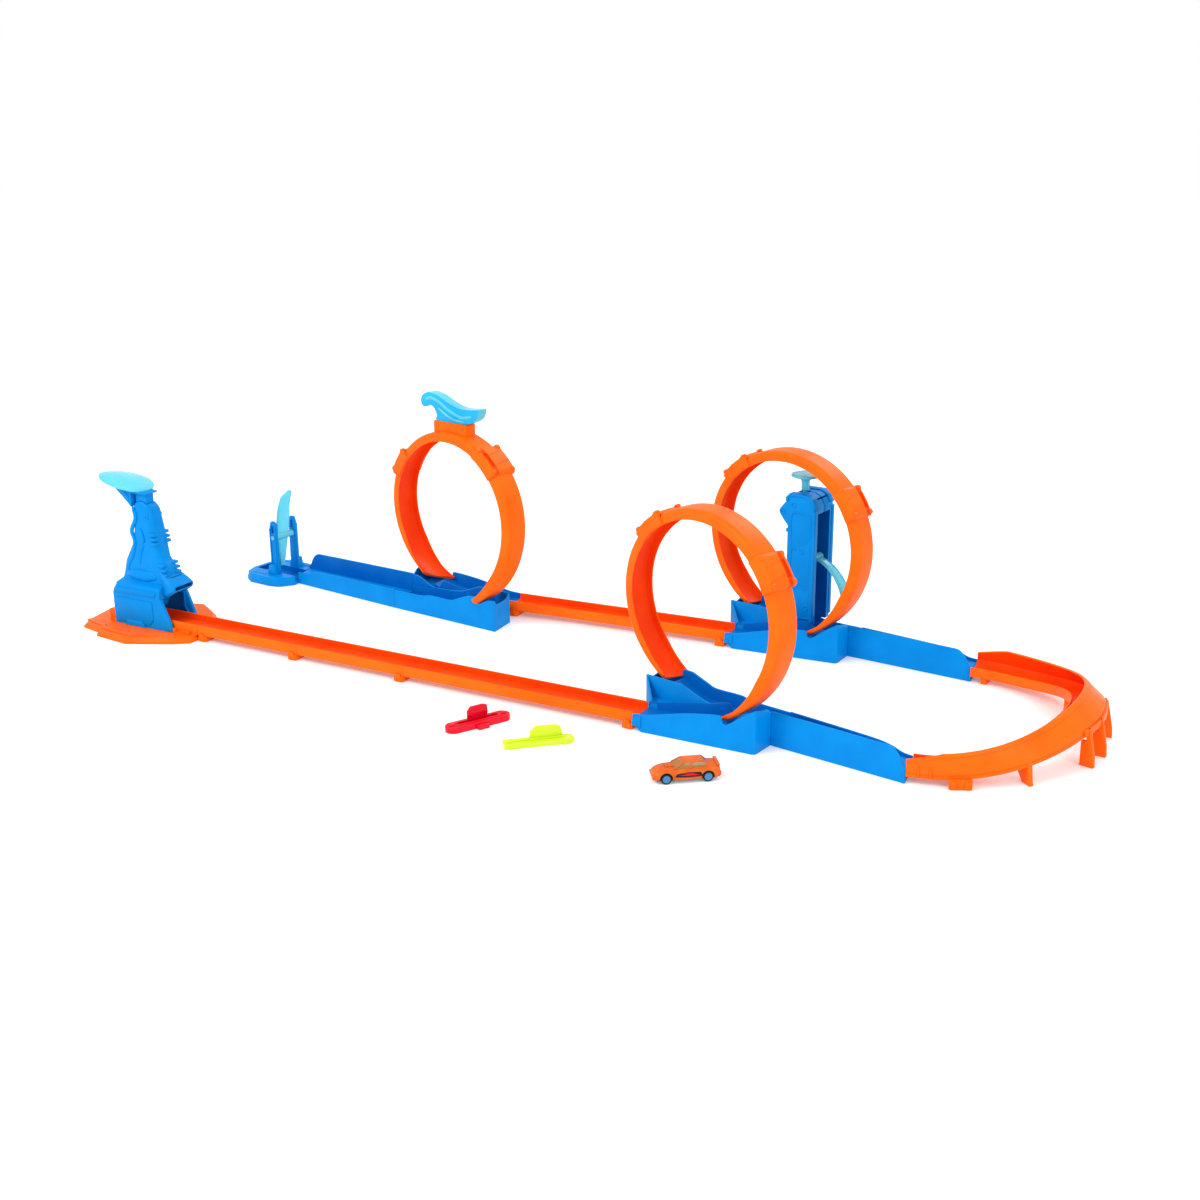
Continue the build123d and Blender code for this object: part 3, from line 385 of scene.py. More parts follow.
ORANGE = plastic("orange_plastic", (0.93, 0.108, 0.003), (0.97, 0.135, 0.005))
# Darker, redder copy of the orange, painted as shade on the faces inside channels and recesses.
ORANGE_SHADE = plastic("orange_painted_shade", (0.84, 0.040, 0.001), (0.90, 0.062, 0.002))
BLUE = plastic("blue_plastic", (0.0, 0.200, 0.590), (0.0, 0.240, 0.660))
# Darker copy of the blue, painted as shade inside channels, on decks and in cut hollows.
BLUE_SHADE = plastic("blue_painted_shade", (0.0, 0.105, 0.430), (0.0, 0.135, 0.500))
CYAN = plastic("cyan_plastic", (0.090, 0.660, 0.860), (0.150, 0.740, 0.900), (0.16, 0.28), 0.06, 0.35, 0.3)
STEEL = metal("steel", (0.20, 0.21, 0.24), 0.35)
WAVE = plastic("wave_cyan", (0.0, 0.38, 0.72), (0.02, 0.47, 0.80), (0.16, 0.28), 0.06, 0.15, 0.2)
BLACK = plastic("black_plastic", (0.012, 0.012, 0.014), (0.022, 0.022, 0.026), (0.45, 0.6), 0.2, coat=0.0)
PAINT = plastic("car_paint", (0.52, 0.085, 0.008), (0.66, 0.120, 0.012), (0.22, 0.32), 0.08, coat=0.25,
                drift_scale=90.0)
GLASS = plastic("car_glass", (0.42, 0.20, 0.03), (0.52, 0.28, 0.05), (0.08, 0.16), 0.04, 0.45, 0.5)
RIM = plastic("rim_blue", (0.04, 0.17, 0.36), (0.07, 0.24, 0.46), (0.2, 0.3), 0.05, coat=0.2)
PINK = plastic("red_clear", (0.74, 0.002, 0.018), (0.82, 0.006, 0.030), (0.14, 0.26), 0.06, 0.2, 0.1)
LIME = plastic("lime_clear", (0.66, 0.88, 0.010), (0.74, 0.93, 0.035), (0.14, 0.26), 0.06, 0.25, 0.3)

SLOT_LOOKS = {"orange": ORANGE, "blue": BLUE, "cyan": CYAN, "steel": STEEL, "car_paint": PAINT,
              "car_glass": GLASS, "car_black": BLACK, "tyre": BLACK, "red_clear": PINK, "lime_clear": LIME}
node_slots = {part["node"]: part["material_slot"] for part in frame["record"]["subparts"]}
for node_name, node in frame["nodes"].items():
    node.data.materials.clear()
    node.data.materials.append(SLOT_LOOKS[node_slots[node_name]])


# ---- places ----
FRONT_Y = -133.0
SET_1_X = 264.0
SET_1 = spot(SET_1_X, FRONT_Y)
SET_2 = spot(237, 206, 3.8)
SET_3 = SET_2 @ spot(-483, 0, 180)
LOOP_SETS = {"1": SET_1, "2": SET_2, "3": SET_3}
SWING = spot(0, 0, -14.3)
LAUNCHER = spot(-636, FRONT_Y)
TOWER = SET_2 @ spot(35, 52, -10.8)
GATE = SET_3 @ spot(366, -2.5, -10)
LANE_OFFSET = 39.6  # from the incoming lane to the loop's middle
CREST = SET_3 @ SWING @ spot(0, LANE_OFFSET, 180)
CAR = spot(322, -256, 218)


# ---- straights ----
def straight(length):
    """Track straight with round-topped rails and the connector slot under its deck."""
    half = [(18.2, 15), (18.8, 15.2), (19, 15.8), (19, 23.1), (19.3, 23.7), (20, 24), (20.7, 23.7),
            (21, 23.1), (21, 9.4), (20.6, 9), (19.4, 9), (19, 9.4), (19, 13)]
    section = half + [(-y, z) for y, z in reversed(half)]
    # faces inside the channel take the darker orange: painted shade
    tones = mat_tones((1, 3), (0, 19), (1, 4))
    reach = [0.0, 0.4] + [length * k / 12 for k in range(1, 12)] + [length - 0.8, length - 0.4]
    rings = []
    for i, x in enumerate(reach):
        shrink = 0.3 if i in (0, len(reach) - 1) else 0.0
        rings.append([(x, y, z - (shrink if z > 20 else 0)) for y, z in section])
    lips = []
    for side in (-1, 1):
        lips.append(block(0.3, length - 0.7, side * 9.75 - 0.75, side * 9.75 + 0.75, 9.5, 13.2, 0.2))
        # moulded stop rib under each end
        for x in (3.0, length - 6.0):
            lips.append(block(x, x + 3, side * 17 - 2, side * 17 + 2, 10.5, 13.2, 0.4))
    return gather(loft(rings, tones), *lips)


LONG, SHORT = 355.0, 185.0
ENTRY_X = -64.0  # where the incoming straight ends in a loop set
FRONT_X = SET_1_X + ENTRY_X - LONG
long_mesh = skin("straight_long", straight(LONG), [ORANGE, ORANGE_SHADE])
short_mesh = skin("straight_short", straight(SHORT), [ORANGE, ORANGE_SHADE])
piece("front_long_look", long_mesh, spot(FRONT_X, FRONT_Y), "track", "orange", "front_track_long")
piece("front_middle_look", short_mesh, spot(FRONT_X - SHORT, FRONT_Y), "track", "orange", "front_track_middle")
piece("front_start_look", short_mesh, spot(FRONT_X - 2 * SHORT, FRONT_Y), "track", "orange",
      "front_track_start")
piece("rear_long_look", long_mesh, SET_2 @ spot(ENTRY_X - LONG, 0), "track", "orange", "rear_track_long")


def connector():
    """Tongue between two straights and the foot under their joint."""
    tongue = prism([(-28, -7), (-26, -8.7), (26, -8.7), (28, -7), (28, 7), (26, 8.7), (-26, 8.7), (-28, 7)],
                   10.8, 12.8, bevel=0.3)
    foot = prism([(-16, -22.5), (-1, -22.5), (-1, 22.5), (-16, 22.5)], 0, 8.7, bevel=1.2)
    parts = [tongue, foot, block(-15.5, -1.5, -7, 7, 0.5, 10.9, 0.5)]
    for side in (-1, 1):
        # side wings that snap round the rails
        parts.append(prism([(-13, 0.5), (-4, 0.5), (-3, 5), (-5, 12), (-12, 12), (-14, 5)],
                           side * 21.3, side * 23.6, "XZ", 0.5))
        parts.append(prism([(-12, 1), (-10, 1), (-10, 7), (-12, 7)], side * 22, side * 24.2, "XZ", 0.4))
    return gather(*parts)


connector_mesh = skin("connector", connector(), [ORANGE, ORANGE_SHADE])
connector_spots = [spot(FRONT_X, FRONT_Y), spot(FRONT_X - SHORT, FRONT_Y),
                   spot(FRONT_X - 2 * SHORT, FRONT_Y, 180)]
connector_spots += [place @ spot(ENTRY_X, 0) for place in LOOP_SETS.values()]
for i, place in enumerate(connector_spots):
    piece(f"connector_{i + 1}", connector_mesh, place, "track", "orange", "track_connectors")


# ---- loop strips ----
LOOP_R, LOOP_Z = 134.0, 152.0
LANE_SHIFT = 50.0  # how far the strip moves across in one turn
STRIP_HALF, RAIL = 21, 14.0
STRIP_JOINTS = (125.0, 220.0)  # angles, each hidden under a coupler
SEAM = 0.1


def on_loop(angle, across, radius):
    """A point of the loop: angle from its bottom, distance across and distance from its centre."""
    a = radians(angle)
    out = Vector((sin(a), 0, -cos(a)))
    ahead = Vector((cos(a), LANE_SHIFT / (2 * pi * LOOP_R), sin(a))).normalized()
    side = ahead.cross(out).normalized()
    centre = Vector((0, LANE_OFFSET + LANE_SHIFT * (angle / 360 - 0.5), LOOP_Z))
    return centre + out * radius + side * across


def strip_section(rail):
    """Across and depth-below-outside points of the strip, and which faces lie inside the channel and take the
    darker painted shade.
    """
    corner = [(-21 + 7 - 7 * cos(t), 7 - 7 * sin(t)) for t in (radians(15 * k) for k in range(7))]
    outer = corner + [(-7, -0.3), (7, -0.3)] + [(-w, d) for w, d in reversed(corner)]
    lip = [(21, rail - 0.5), (20.5, rail), (19.5, rail), (19, rail - 0.5)]
    inner = [(19, 7), (18, 4.4), (15.5, 2.9), (0, 2.3)]
    right = lip + inner
    left = [(-w, d) for w, d in reversed(lip + inner[:-1])]
    section = outer + right + left
    first_in = len(outer) + 3
    last_in = first_in + 8
    return section, [1 if first_in <= i < last_in else 0 for i in range(len(section))]


def strip(first, last, rail_at, steps):
    """A stretch of loop channel; first and last give the end angle for a place across."""
    rings = []
    tones = strip_section(RAIL)[1]
    for k in range(steps + 1):
        t = k / steps
        section, _ = strip_section(rail_at(t))
        ring = []
        for across, depth in section:
            angle = first(across) * (1 - t) + last(across) * t
            ring.append(on_loop(angle, across, LOOP_R - depth))
        rings.append(ring)
    return loft(rings, tones)


def tip_start(across):
    """The rising strip's end is cut at a slant, long on the near side."""
    share = (across + STRIP_HALF) / (2 * STRIP_HALF)
    return 24.5 + 14.0 * share ** 0.8 if share > 0 else 24.5


def tip_end(across):
    """The falling strip's end, slanted less."""
    return 327.5 + 2.5 * (across / STRIP_HALF)


def square(angle):
    """A square end at one angle."""
    return lambda across: angle


STRIPS = {"rise": (tip_start, square(STRIP_JOINTS[0] - SEAM), lambda t: 4.0 + 10.0 * min(1, t * 2.8)),
          "top": (square(STRIP_JOINTS[0] + SEAM), square(STRIP_JOINTS[1] - SEAM), lambda t: RAIL),
          "fall": (square(STRIP_JOINTS[1] + SEAM), tip_end, lambda t: RAIL - 5.0 * max(0, t - 0.8) * 5)}
strip_meshes = {name: skin(f"strip_{name}", strip(*ends, 48), [ORANGE, ORANGE_SHADE]) for name, ends in STRIPS.items()}


def coupler(first, last):
    """Sleeve over a joint of the strip: raised rails at both edges, end bands and a sunk middle."""
    rings = []
    profile = [(-23.6, 13), (-23.6, -1.5), (-22.8, -3.2), (-21, -3.9), (-15, -4.3), (-6, -4.5), (4, -4.5),
               (9, -4.3), (10, -4.3), (10.6, -1.0), (17.6, -1.0), (18.4, -4.0), (21, -3.7), (22.8, -3.0),
               (23.6, -1.5), (23.6, 13), (21.1, 13), (21.1, 0.4), (-21.1, 0.4), (-21.1, 13)]
    # the three faces of the sunk band take the darker orange: painted shade in the recess
    tones = mat_tones((0, 8), (1, 3), (0, 9))
    for k in range(33):
        t = k / 32
        angle = first + (last - first) * t
        lift = min(1.0, 0.25 + min(t, 1 - t) * 9)
        ring = []
        for across, depth in profile:
            d = depth if depth > 0 else depth * lift
            if depth == -1.0 and not 0.28 < t < 0.74:
                d = -4.2 * lift
            ring.append(on_loop(angle, across, LOOP_R - d))
        rings.append(ring)
    parts = [loft(rings, tones)]
    middle = (first + last) / 2
    # hooks and ribs that stand off the sleeve
    for across in (-19, 19):
        for a0, a1, height in ((first + 0.8, first + 4.0, 6.4), (last - 3.6, last - 0.8, 6.0)):
            rings = []
            for k in range(5):
                angle = a0 + (a1 - a0) * k / 4
                top = height if 0 < k < 4 else height - 1.4
                hook = ((-3, 3), (-3, top - 0.6), (-2.4, top), (2.4, top), (3, top - 0.6), (3, 3))
                rings.append([on_loop(angle, across + w, LOOP_R + h) for w, h in hook])
            parts.append(loft(rings))
    # seam that crosses the sleeve at a slant
    for shift in (-4.4, 3.6):
        rings = []
        for w, turn in ((-20, -1.2), (-8, -0.4), (2, 0.6), (8.5, 1.6)):
            at = middle + shift + turn
            seam = ((-0.3, 2), (-0.2, 5.2), (0.2, 5.2), (0.3, 2))
            rings.append([on_loop(at + a, w, LOOP_R + h) for a, h in seam])
        parts.append(loft(rings))
    return gather(*parts)


coupler_mesh = skin("coupler", gather(coupler(115, 135), coupler(209, 231)), [ORANGE, ORANGE_SHADE])


# ---- loop base ----
ENTRY = -63.6
NEAR_TOP = spline([(0, 23), (20, 24.5), (48, 31), (75, 37), (104, 41.5), (121, 43)]) + \
    spline([(125, 31), (133, 34.5), (143, 41.5), (153, 49), (160, 53.5), (167.6, 57)])
MIDDLE_TOP = spline([(0, 23), (20, 25), (48, 31), (84, 36), (104, 40.5), (112, 42)]) + \
    spline([(122, 27.6), (167.6, 27)], 2)
LANE_NEAR_TOP = spline([(0, 48), (50, 47.5), (60, 46), (80, 38.5), (95, 33.6), (120, 31), (150, 30),
                        (163, 34), (174, 40), (184, 43), (194.5, 44)])


def loop_base():
    parts = [wall([(ENTRY, -24), (104, -24), (109, 13)], [(0, 9), (12, 0), (210, 0)],
                  NEAR_TOP + [(175, 54.5), (196, 50.5), (204, 44)], radius=4, step=3)]
    # light flange along the outside of the near wall's rim, both faces in the darker blue of painted shade
    parts.append(wall([(ENTRY, 22), (104, 22)], [(0, 9), (170, 9)], MIDDLE_TOP, tones=(1, 1), step=3))
    deck_line = spline([(ENTRY, 15), (-4, 15), (12, 16), (28, 18.8), (42, 23.5), (54, 29), (64, 35)], 5)
    deck_low = [(x, z - 2) for x, z in reversed(deck_line)]
    # the deck takes the darker blue all over: painted shade in the channel
    parts.append(tone(prism(deck_line + [(66, 30), (104, 28), (104, 26), (66, 28)] + deck_low[1:],
                            -22, 23, "XZ"), 1))
    parts.append(wall([(-82, 98), (-82, 50), (-62, 24)], [(0, 0), (100, 0)],
                      [(0, 48), (8, 41), (14, 40), (34, 40), (40, 41), (48, 48), (81, 24)], radius=2, step=3))
    parts.append(wall([(-82, 50), (109, 13)], [(0, 0), (200, 0)], LANE_NEAR_TOP, step=3))
    far_top = spline([(0, 29), (56, 30), (75, 33.6), (114, 33.6), (128, 38), (152, 47.5)]) + \
        [(167, 48), (169.6, 38.5), (172.6, 38.5), (190, 47), (202.6, 48)]
    parts.append(wall([(117, 60), (-82, 98)], [(0, 0), (203, 0)], far_top, step=3))
    lane = spline([(-81, 30), (-57, 30)], 1) + spline(
        [(-54, 37.5), (-43, 30.5), (-31, 24.8), (-19, 20.5), (-3, 17), (19, 15), (109, 15)], 4)
    under = [(x, z - 2.2) for x, z in reversed(lane)]
    bed = prism(lane + under, 0, 44, "XZ")
    bed.transform(Matrix.Translation((-0.2, 35.5, 0)) @ Matrix.Rotation(atan2(-36.4, 189.5), 4, "Z"))
    # the lane bed takes the darker blue too: painted shade
    parts.append(tone(bed, 1))
    parts.append(prism([(-80.2, 50.9), (-60.2, 23.4), (53, 23.4), (53, 24.9)], 18, 20))
    # entry tabs that hold the incoming straight, with a hook at the near corner
    for y0, y1 in ((-25.4, -22.2), (21.8, 24.8)):
        parts.append(prism([(ENTRY - 0.2, 9), (ENTRY + 12, 6), (ENTRY + 12, 22), (ENTRY + 3, 21),
                            (ENTRY - 0.2, 16)], y0, y1, "XZ", 0.6))
    parts.append(block(ENTRY - 1, ENTRY + 7, -26.2, -23, 8, 13, 0.8))
    # ribs under the rim of the near wall's inside
    for x in (-40, -10, 20, 80):
        parts.append(block(x, x + 1.6, -21.8, -19, 4, 14, 0.3))
    return gather(*parts)


def chute(near_end, far_end):
    near_start, far_start = (109.4, 13.0), (117.4, 60.0)
    near_run = hypot(near_end[0] - near_start[0], near_end[1] - near_start[1])
    far_run = hypot(far_end[0] - far_start[0], far_end[1] - far_start[1])
    end_run = hypot(far_end[0] - near_end[0], far_end[1] - near_end[1])
    near_top = spline([(0, 45), (70, 44.5), (near_run - 24, 43.2)], 4) + \
        spline([(near_run - 21, 42.8), (near_run - 16, 40.5), (near_run - 9, 33.5), (near_run - 5, 24.5),
                (near_run, 20)], 3)
    far_top = spline([(0, 30), (far_run - 60, 28), (far_run - 30, 25), (far_run - 14, 20), (far_run, 19)], 4)
    return gather(
        prism([(near_start[0], near_start[1] + 1), (near_end[0] - 1, near_end[1] + 1),
               (far_end[0] - 1, far_end[1] - 1), (far_start[0], far_start[1] - 1)], 13, 15),
        wall([near_start, near_end], [(0, 0), (near_run, 0)], near_top, step=2.5),
        wall([far_end, far_start], [(0, 0), (far_run, 0)],
             [(far_run - s, z) for s, z in reversed(far_top)], step=3),
        wall([near_end, far_end], [(0, 0), (end_run, 0)], [(0, 14), (end_run, 14)]))


CHUTE_ENDS = {"1": ((291.0, -18.0), (287.0, 24.0)), "2": ((290.8, -18.0), (291.6, 24.0)),
              "3": ((333.0, -25.0), (329.0, 15.0))}
base_mesh = skin("loop_base", loop_base(), [BLUE, BLUE_SHADE])
for number, place in LOOP_SETS.items():
    swung = place @ SWING
    piece(f"base_{number}_look", base_mesh, place, "track", "blue", f"loop_{number}_base")
    show(f"chute_{number}_look", chute(*CHUTE_ENDS[number]), [BLUE, BLUE_SHADE], place, "track", "blue",
         f"loop_{number}_chute")
    for name, ending in (("rise", "rising"), ("top", "top"), ("fall", "falling")):
        piece(f"strip_{name}_{number}", strip_meshes[name], swung, "track", "orange",
              f"loop_{number}_strip_{ending}")
    piece(f"couplers_{number}_look", coupler_mesh, swung, "track", "orange", f"loop_{number}_couplers")


# ---- U-turn ----
UTURN_R, UTURN_INNER = 198.5, 156.5
UTURN_CENTRE = (535.75, 46.8)
UTURN_ENDS = (-84.2, 92.5)
UTURN_JOINT = 8.0
UTURN = spot(*UTURN_CENTRE)
UTURN_TOP, UTURN_RISE, UTURN_LEAN = 40.0, 32.0, 24.0


def bend_share(heading):
    """0 at the ends of the bend, 1 at its crest."""
    return max(0.0, (cos(radians(heading)) - 0.1) / 0.9)


def bend_section(heading):
    """Radius and height points round the banked bend's section: rail, deck, wall that leans in."""
    end = UTURN_ENDS[0] if heading < 0 else UTURN_ENDS[1]
    run = UTURN_R * (cos(radians(heading)) - cos(radians(end)))
    top = min(UTURN_TOP, 31 + 0.22 * max(run, 0))
    share = bend_share(heading)
    slant = (0.8 + UTURN_LEAN * share ** 1.5) / 20

    def out(z):
        return UTURN_R - slant * max(z - 20, 0)

    near_top = top - 4.0
    points = [(UTURN_INNER + 0.2, 9), (UTURN_INNER + 1.8, 9), (UTURN_INNER + 2, 13), (UTURN_R - 12, 13),
              (UTURN_R - 2.6, 17), (UTURN_R - 2.4, 9), (UTURN_R - 0.3, 9), (UTURN_R, 9.4),
              (UTURN_R, 12.6), (UTURN_R - 0.8, 13.2), (UTURN_R - 0.8, 14.2), (UTURN_R, 14.8), (UTURN_R, 20),
              (out(near_top), near_top), (out(near_top + 0.4) + 0.9, near_top + 0.5),
              (out(top) + 0.9, top - 0.7), (out(top) + 0.2, top), (out(top) - 2.2, top - 0.2),
              (out(top) - 3.1, top - 1.1), (out(26) - 3.2, 26), (UTURN_R - 3.3, 21), (UTURN_R - 6, 17.4),
              (UTURN_R - 12, 15), (UTURN_INNER + 2.6, 15), (UTURN_INNER + 2, 15.5), (UTURN_INNER + 2, 21.4),
              (UTURN_INNER + 1.5, 22), (UTURN_INNER + 0.5, 22), (UTURN_INNER, 21.5), (UTURN_INNER, 9.3)]
    climb = UTURN_RISE * share ** 2.5
    return [(r, z + climb) for r, z in points]


def bend(first, last):
    """A stretch of the bend between two headings."""
    rings = []
    steps = int(abs(last - first) / 1.5)
    for k in range(steps + 1):
        heading = first + (last - first) * k / steps
        turn = radians(heading)
        rings.append([(r * cos(turn), r * sin(turn), z) for r, z in bend_section(heading)])
    # the leaning wall's inner face and the deck take the darker orange: painted shade in the channel
    return loft(rings, mat_tones((0, 18), (1, 7), (0, 5)))


def around(solid, heading):
    """A solid turned to a heading of the bend."""
    return moved(solid, turn=heading)


CLIP_HEADING = -66
near_half = [bend(UTURN_ENDS[0], UTURN_JOINT - 0.15),
             around(block(UTURN_R - 0.3, UTURN_R + 4.9, -13.5, 13.5, 0, 13, 1.2), CLIP_HEADING),
             around(block(UTURN_R - 33, UTURN_R - 3, -5, 5, 0, 15.8, 0.8), CLIP_HEADING),
             around(prism([(UTURN_R - 0.4, 30), (UTURN_R - 12, 27.4), (UTURN_R - 36, 27.4), (UTURN_R - 10, 0),
                           (UTURN_R + 6, 0), (UTURN_R + 4, 6)], -3, 3, "XZ", 0.7), -42)]
for heading in (-80, -76):
    near_half.append(around(block(UTURN_R - 0.6, UTURN_R + 1.4, -1.2, 1.2, 10, 24, 0.5), heading))
for side in (-8, 8):
    near_half.append(around(block(UTURN_R + 3, UTURN_R + 7, side - 3.4, side + 3.4, 2, 11, 1.0), CLIP_HEADING))
far_half = [bend(UTURN_JOINT + 0.15, UTURN_ENDS[1])]
for heading, height in ((86, 13.4), (30, 34.2)):
    far_half.append(around(block(UTURN_R - 40, UTURN_R - 12, -4, 4, 0, height, 0.8), heading))
far_half.append(around(block(UTURN_R - 0.6, UTURN_R + 1.4, -1.2, 1.2, 10, 24, 0.5), 83))
stand = []
for leg in (-14, -3, 15):
    stand.append(around(prism([(UTURN_R + 0.3, 48), (UTURN_R + 0.3, 32), (UTURN_R - 6, 32), (UTURN_R - 6, 0),
                               (UTURN_R + 12, 0), (UTURN_R + 11, 14), (UTURN_R + 4, 48)],
                              -3, 3, "XZ", 0.8), leg))
band = []
for k in range(19):
    heading = radians(-17 + 35 * k / 18)
    band.append([(r * cos(heading), r * sin(heading), z)
                 for r, z in ((UTURN_R + 0.3, 40), (UTURN_R + 3, 40), (UTURN_R + 3.4, 41), (UTURN_R + 3.4, 47),
                              (UTURN_R + 3, 48), (UTURN_R + 0.3, 48))])
stand.append(loft(band))
show("uturn_near_look", gather(*near_half), [ORANGE, ORANGE_SHADE], UTURN, "track", "orange", "uturn_near_half")
show("uturn_far_look", gather(*far_half), [ORANGE, ORANGE_SHADE], UTURN, "track", "orange", "uturn_far_half")
show("uturn_stand_look", gather(*stand), [ORANGE], UTURN, "track", "orange", "uturn_stand")


# ---- launcher ----
DECK_START, DECK_LENGTH = -64.0, 174.6
PLATE = [(-100, 34), (-106, 22), (-94, -40), (-85, -56), (-46, -64), (-38, -76), (25, -83), (88, -52),
         (109, -37), (110, -23), (110, 23), (92, 44), (60, 75), (17, 102), (-4, 96), (-30, 62), (-72, 46)]


def shrunk(points, share):
    """An outline drawn in towards its origin."""
    return [(x * share, y * share) for x, y in points]


plate = loft([[(x, y, z) for x, y in shrunk(PLATE, share)]
              for share, z in ((0.995, 0), (1.0, 0.6), (1.0, 2.6), (0.99, 3.2), (0.955, 7.2), (0.945, 7.9))])
deck = moved(straight(DECK_LENGTH), DECK_START)
plate_trim = [prism([(-90, -44), (-50, -54), (-44, -64), (20, -70), (62, -52), (58, -46), (18, -61),
                     (-40, -55), (-48, -46), (-86, -37)], 6.5, 9.4, bevel=0.7),
              block(DECK_START + 1, 109, -23, 23, 7.4, 9.2, 0.5),
              prism([(-84, 34), (-40, 40), (-14, 66), (0, 84), (-3, 88), (-20, 70), (-44, 48), (-84, 41)],
                    6.5, 9.4, bevel=0.7)]
for x in (66, 92):
    plate_trim += [block(x, x + 6, *span(side, 20.9, 27), 4, 14, 0.8) for side in (-1, 1)]
show("launcher_base_look", gather(plate, deck, *plate_trim), [ORANGE, ORANGE_SHADE], LAUNCHER, "track", "orange",
     "launcher_base")

BODY_LEFT = [(8, -46), (56, -46), (66, -40), (74, -38), (104, -29), (132, -12), (160, -5), (192, -4),
             (195, -2), (197, 3)]
BODY_RIGHT = [(8, 58), (14, 60), (32, 49), (72, 49), (90, 53), (100, 50), (112, 41), (157, 35), (184, 30),
              (193, 25), (197, 18)]
BODY_HALF = [(8, 30), (66, 30), (72, 27), (76, 16.5), (80, 15), (150, 14.5), (188, 14), (197, 10)]
BODY_LEVELS = [8.2, 9, 14, 20, 32, 45, 56, 62, 66, 70, 72, 74, 76, 80, 90, 100, 106, 112, 120, 132, 145, 157,
               170, 184, 189, 193, 195.5, 197]


def half_ring(x0, x1, depth, z, side, corner):
    """Half of a rounded rectangle, flat along the middle plane."""
    r = max(min(corner, depth - 0.2, (x1 - x0) / 2 - 0.2), 0.3)
    arc = [radians(18 * k) for k in range(6)]
    left = [(x0 + r - r * cos(t), side * (depth - r + r * sin(t)), z) for t in arc]
    right = [(x1 - r + r * sin(t), side * (depth - r + r * cos(t)), z) for t in arc]
    return [(x0, 0.02 * side, z)] + left + right + [(x1, 0.02 * side, z)]


def body_half(side, inset, levels):
    rings = []
    for z in levels:
        corner = 4.0 if z < 74 else 8.0
        rings.append(half_ring(level(BODY_LEFT, z) + inset, level(BODY_RIGHT, z) - inset,
                               level(BODY_HALF, z) - inset, z, side, corner - inset / 2))
    return loft(rings)


def snout_half(side):
    """Half of the hood over the tunnel mouth, narrowing to a blunt lip."""
    rings = []
    for x, low, high, half in ((40, 57, 98, 15), (48, 56, 92, 19), (56, 58, 86, 22), (64, 63, 81, 23),
                               (70, 67, 77.5, 22), (71.5, 68.5, 76, 20.5)):
        r = min(4.0, (high - low) / 3)
        rings.append([(x, 0.02 * side, low), (x, side * (half - r), low), (x, side * half, low + r),
                      (x, side * half, high - r), (x, side * (half - r), high), (x, 0.02 * side, high)])
    return loft(rings)


def ridge(points, width, height, side, base):
    """A raised rib on a side face that follows (x, z) points."""
    path = spline(points, 5)
    rings = []
    for i, (x, z) in enumerate(path):
        xa, za = path[max(i - 1, 0)]
        xb, zb = path[min(i + 1, len(path) - 1)]
        size = hypot(xb - xa, zb - za)
        nx, nz = -(zb - za) / size, (xb - xa) / size
        share = min(1, 0.25 + min(i, len(path) - 1 - i) / 3)
        w, out = width * share / 2, height * share
        rings.append([(x + nx * o, side * (base + d), z + nz * o)
                      for o, d in ((-w, -1.5), (-w, out * 0.5), (-w * 0.5, out), (w * 0.5, out),
                                   (w, out * 0.5), (w, -1.5))])
    return loft(rings)


def ring_boss(x, z, radius, side, base):
    """A raised ring round a screw hole."""
    height = 1.2
    turned = lathe([(radius, -1), (radius, height * 0.6), (radius - 0.5, height), (radius - 1.4, height),
                    (radius - 1.8, height * 0.5), (radius - 1.9, -1)], 28)
    return moved(facing(turned, side), x, side * base, z)


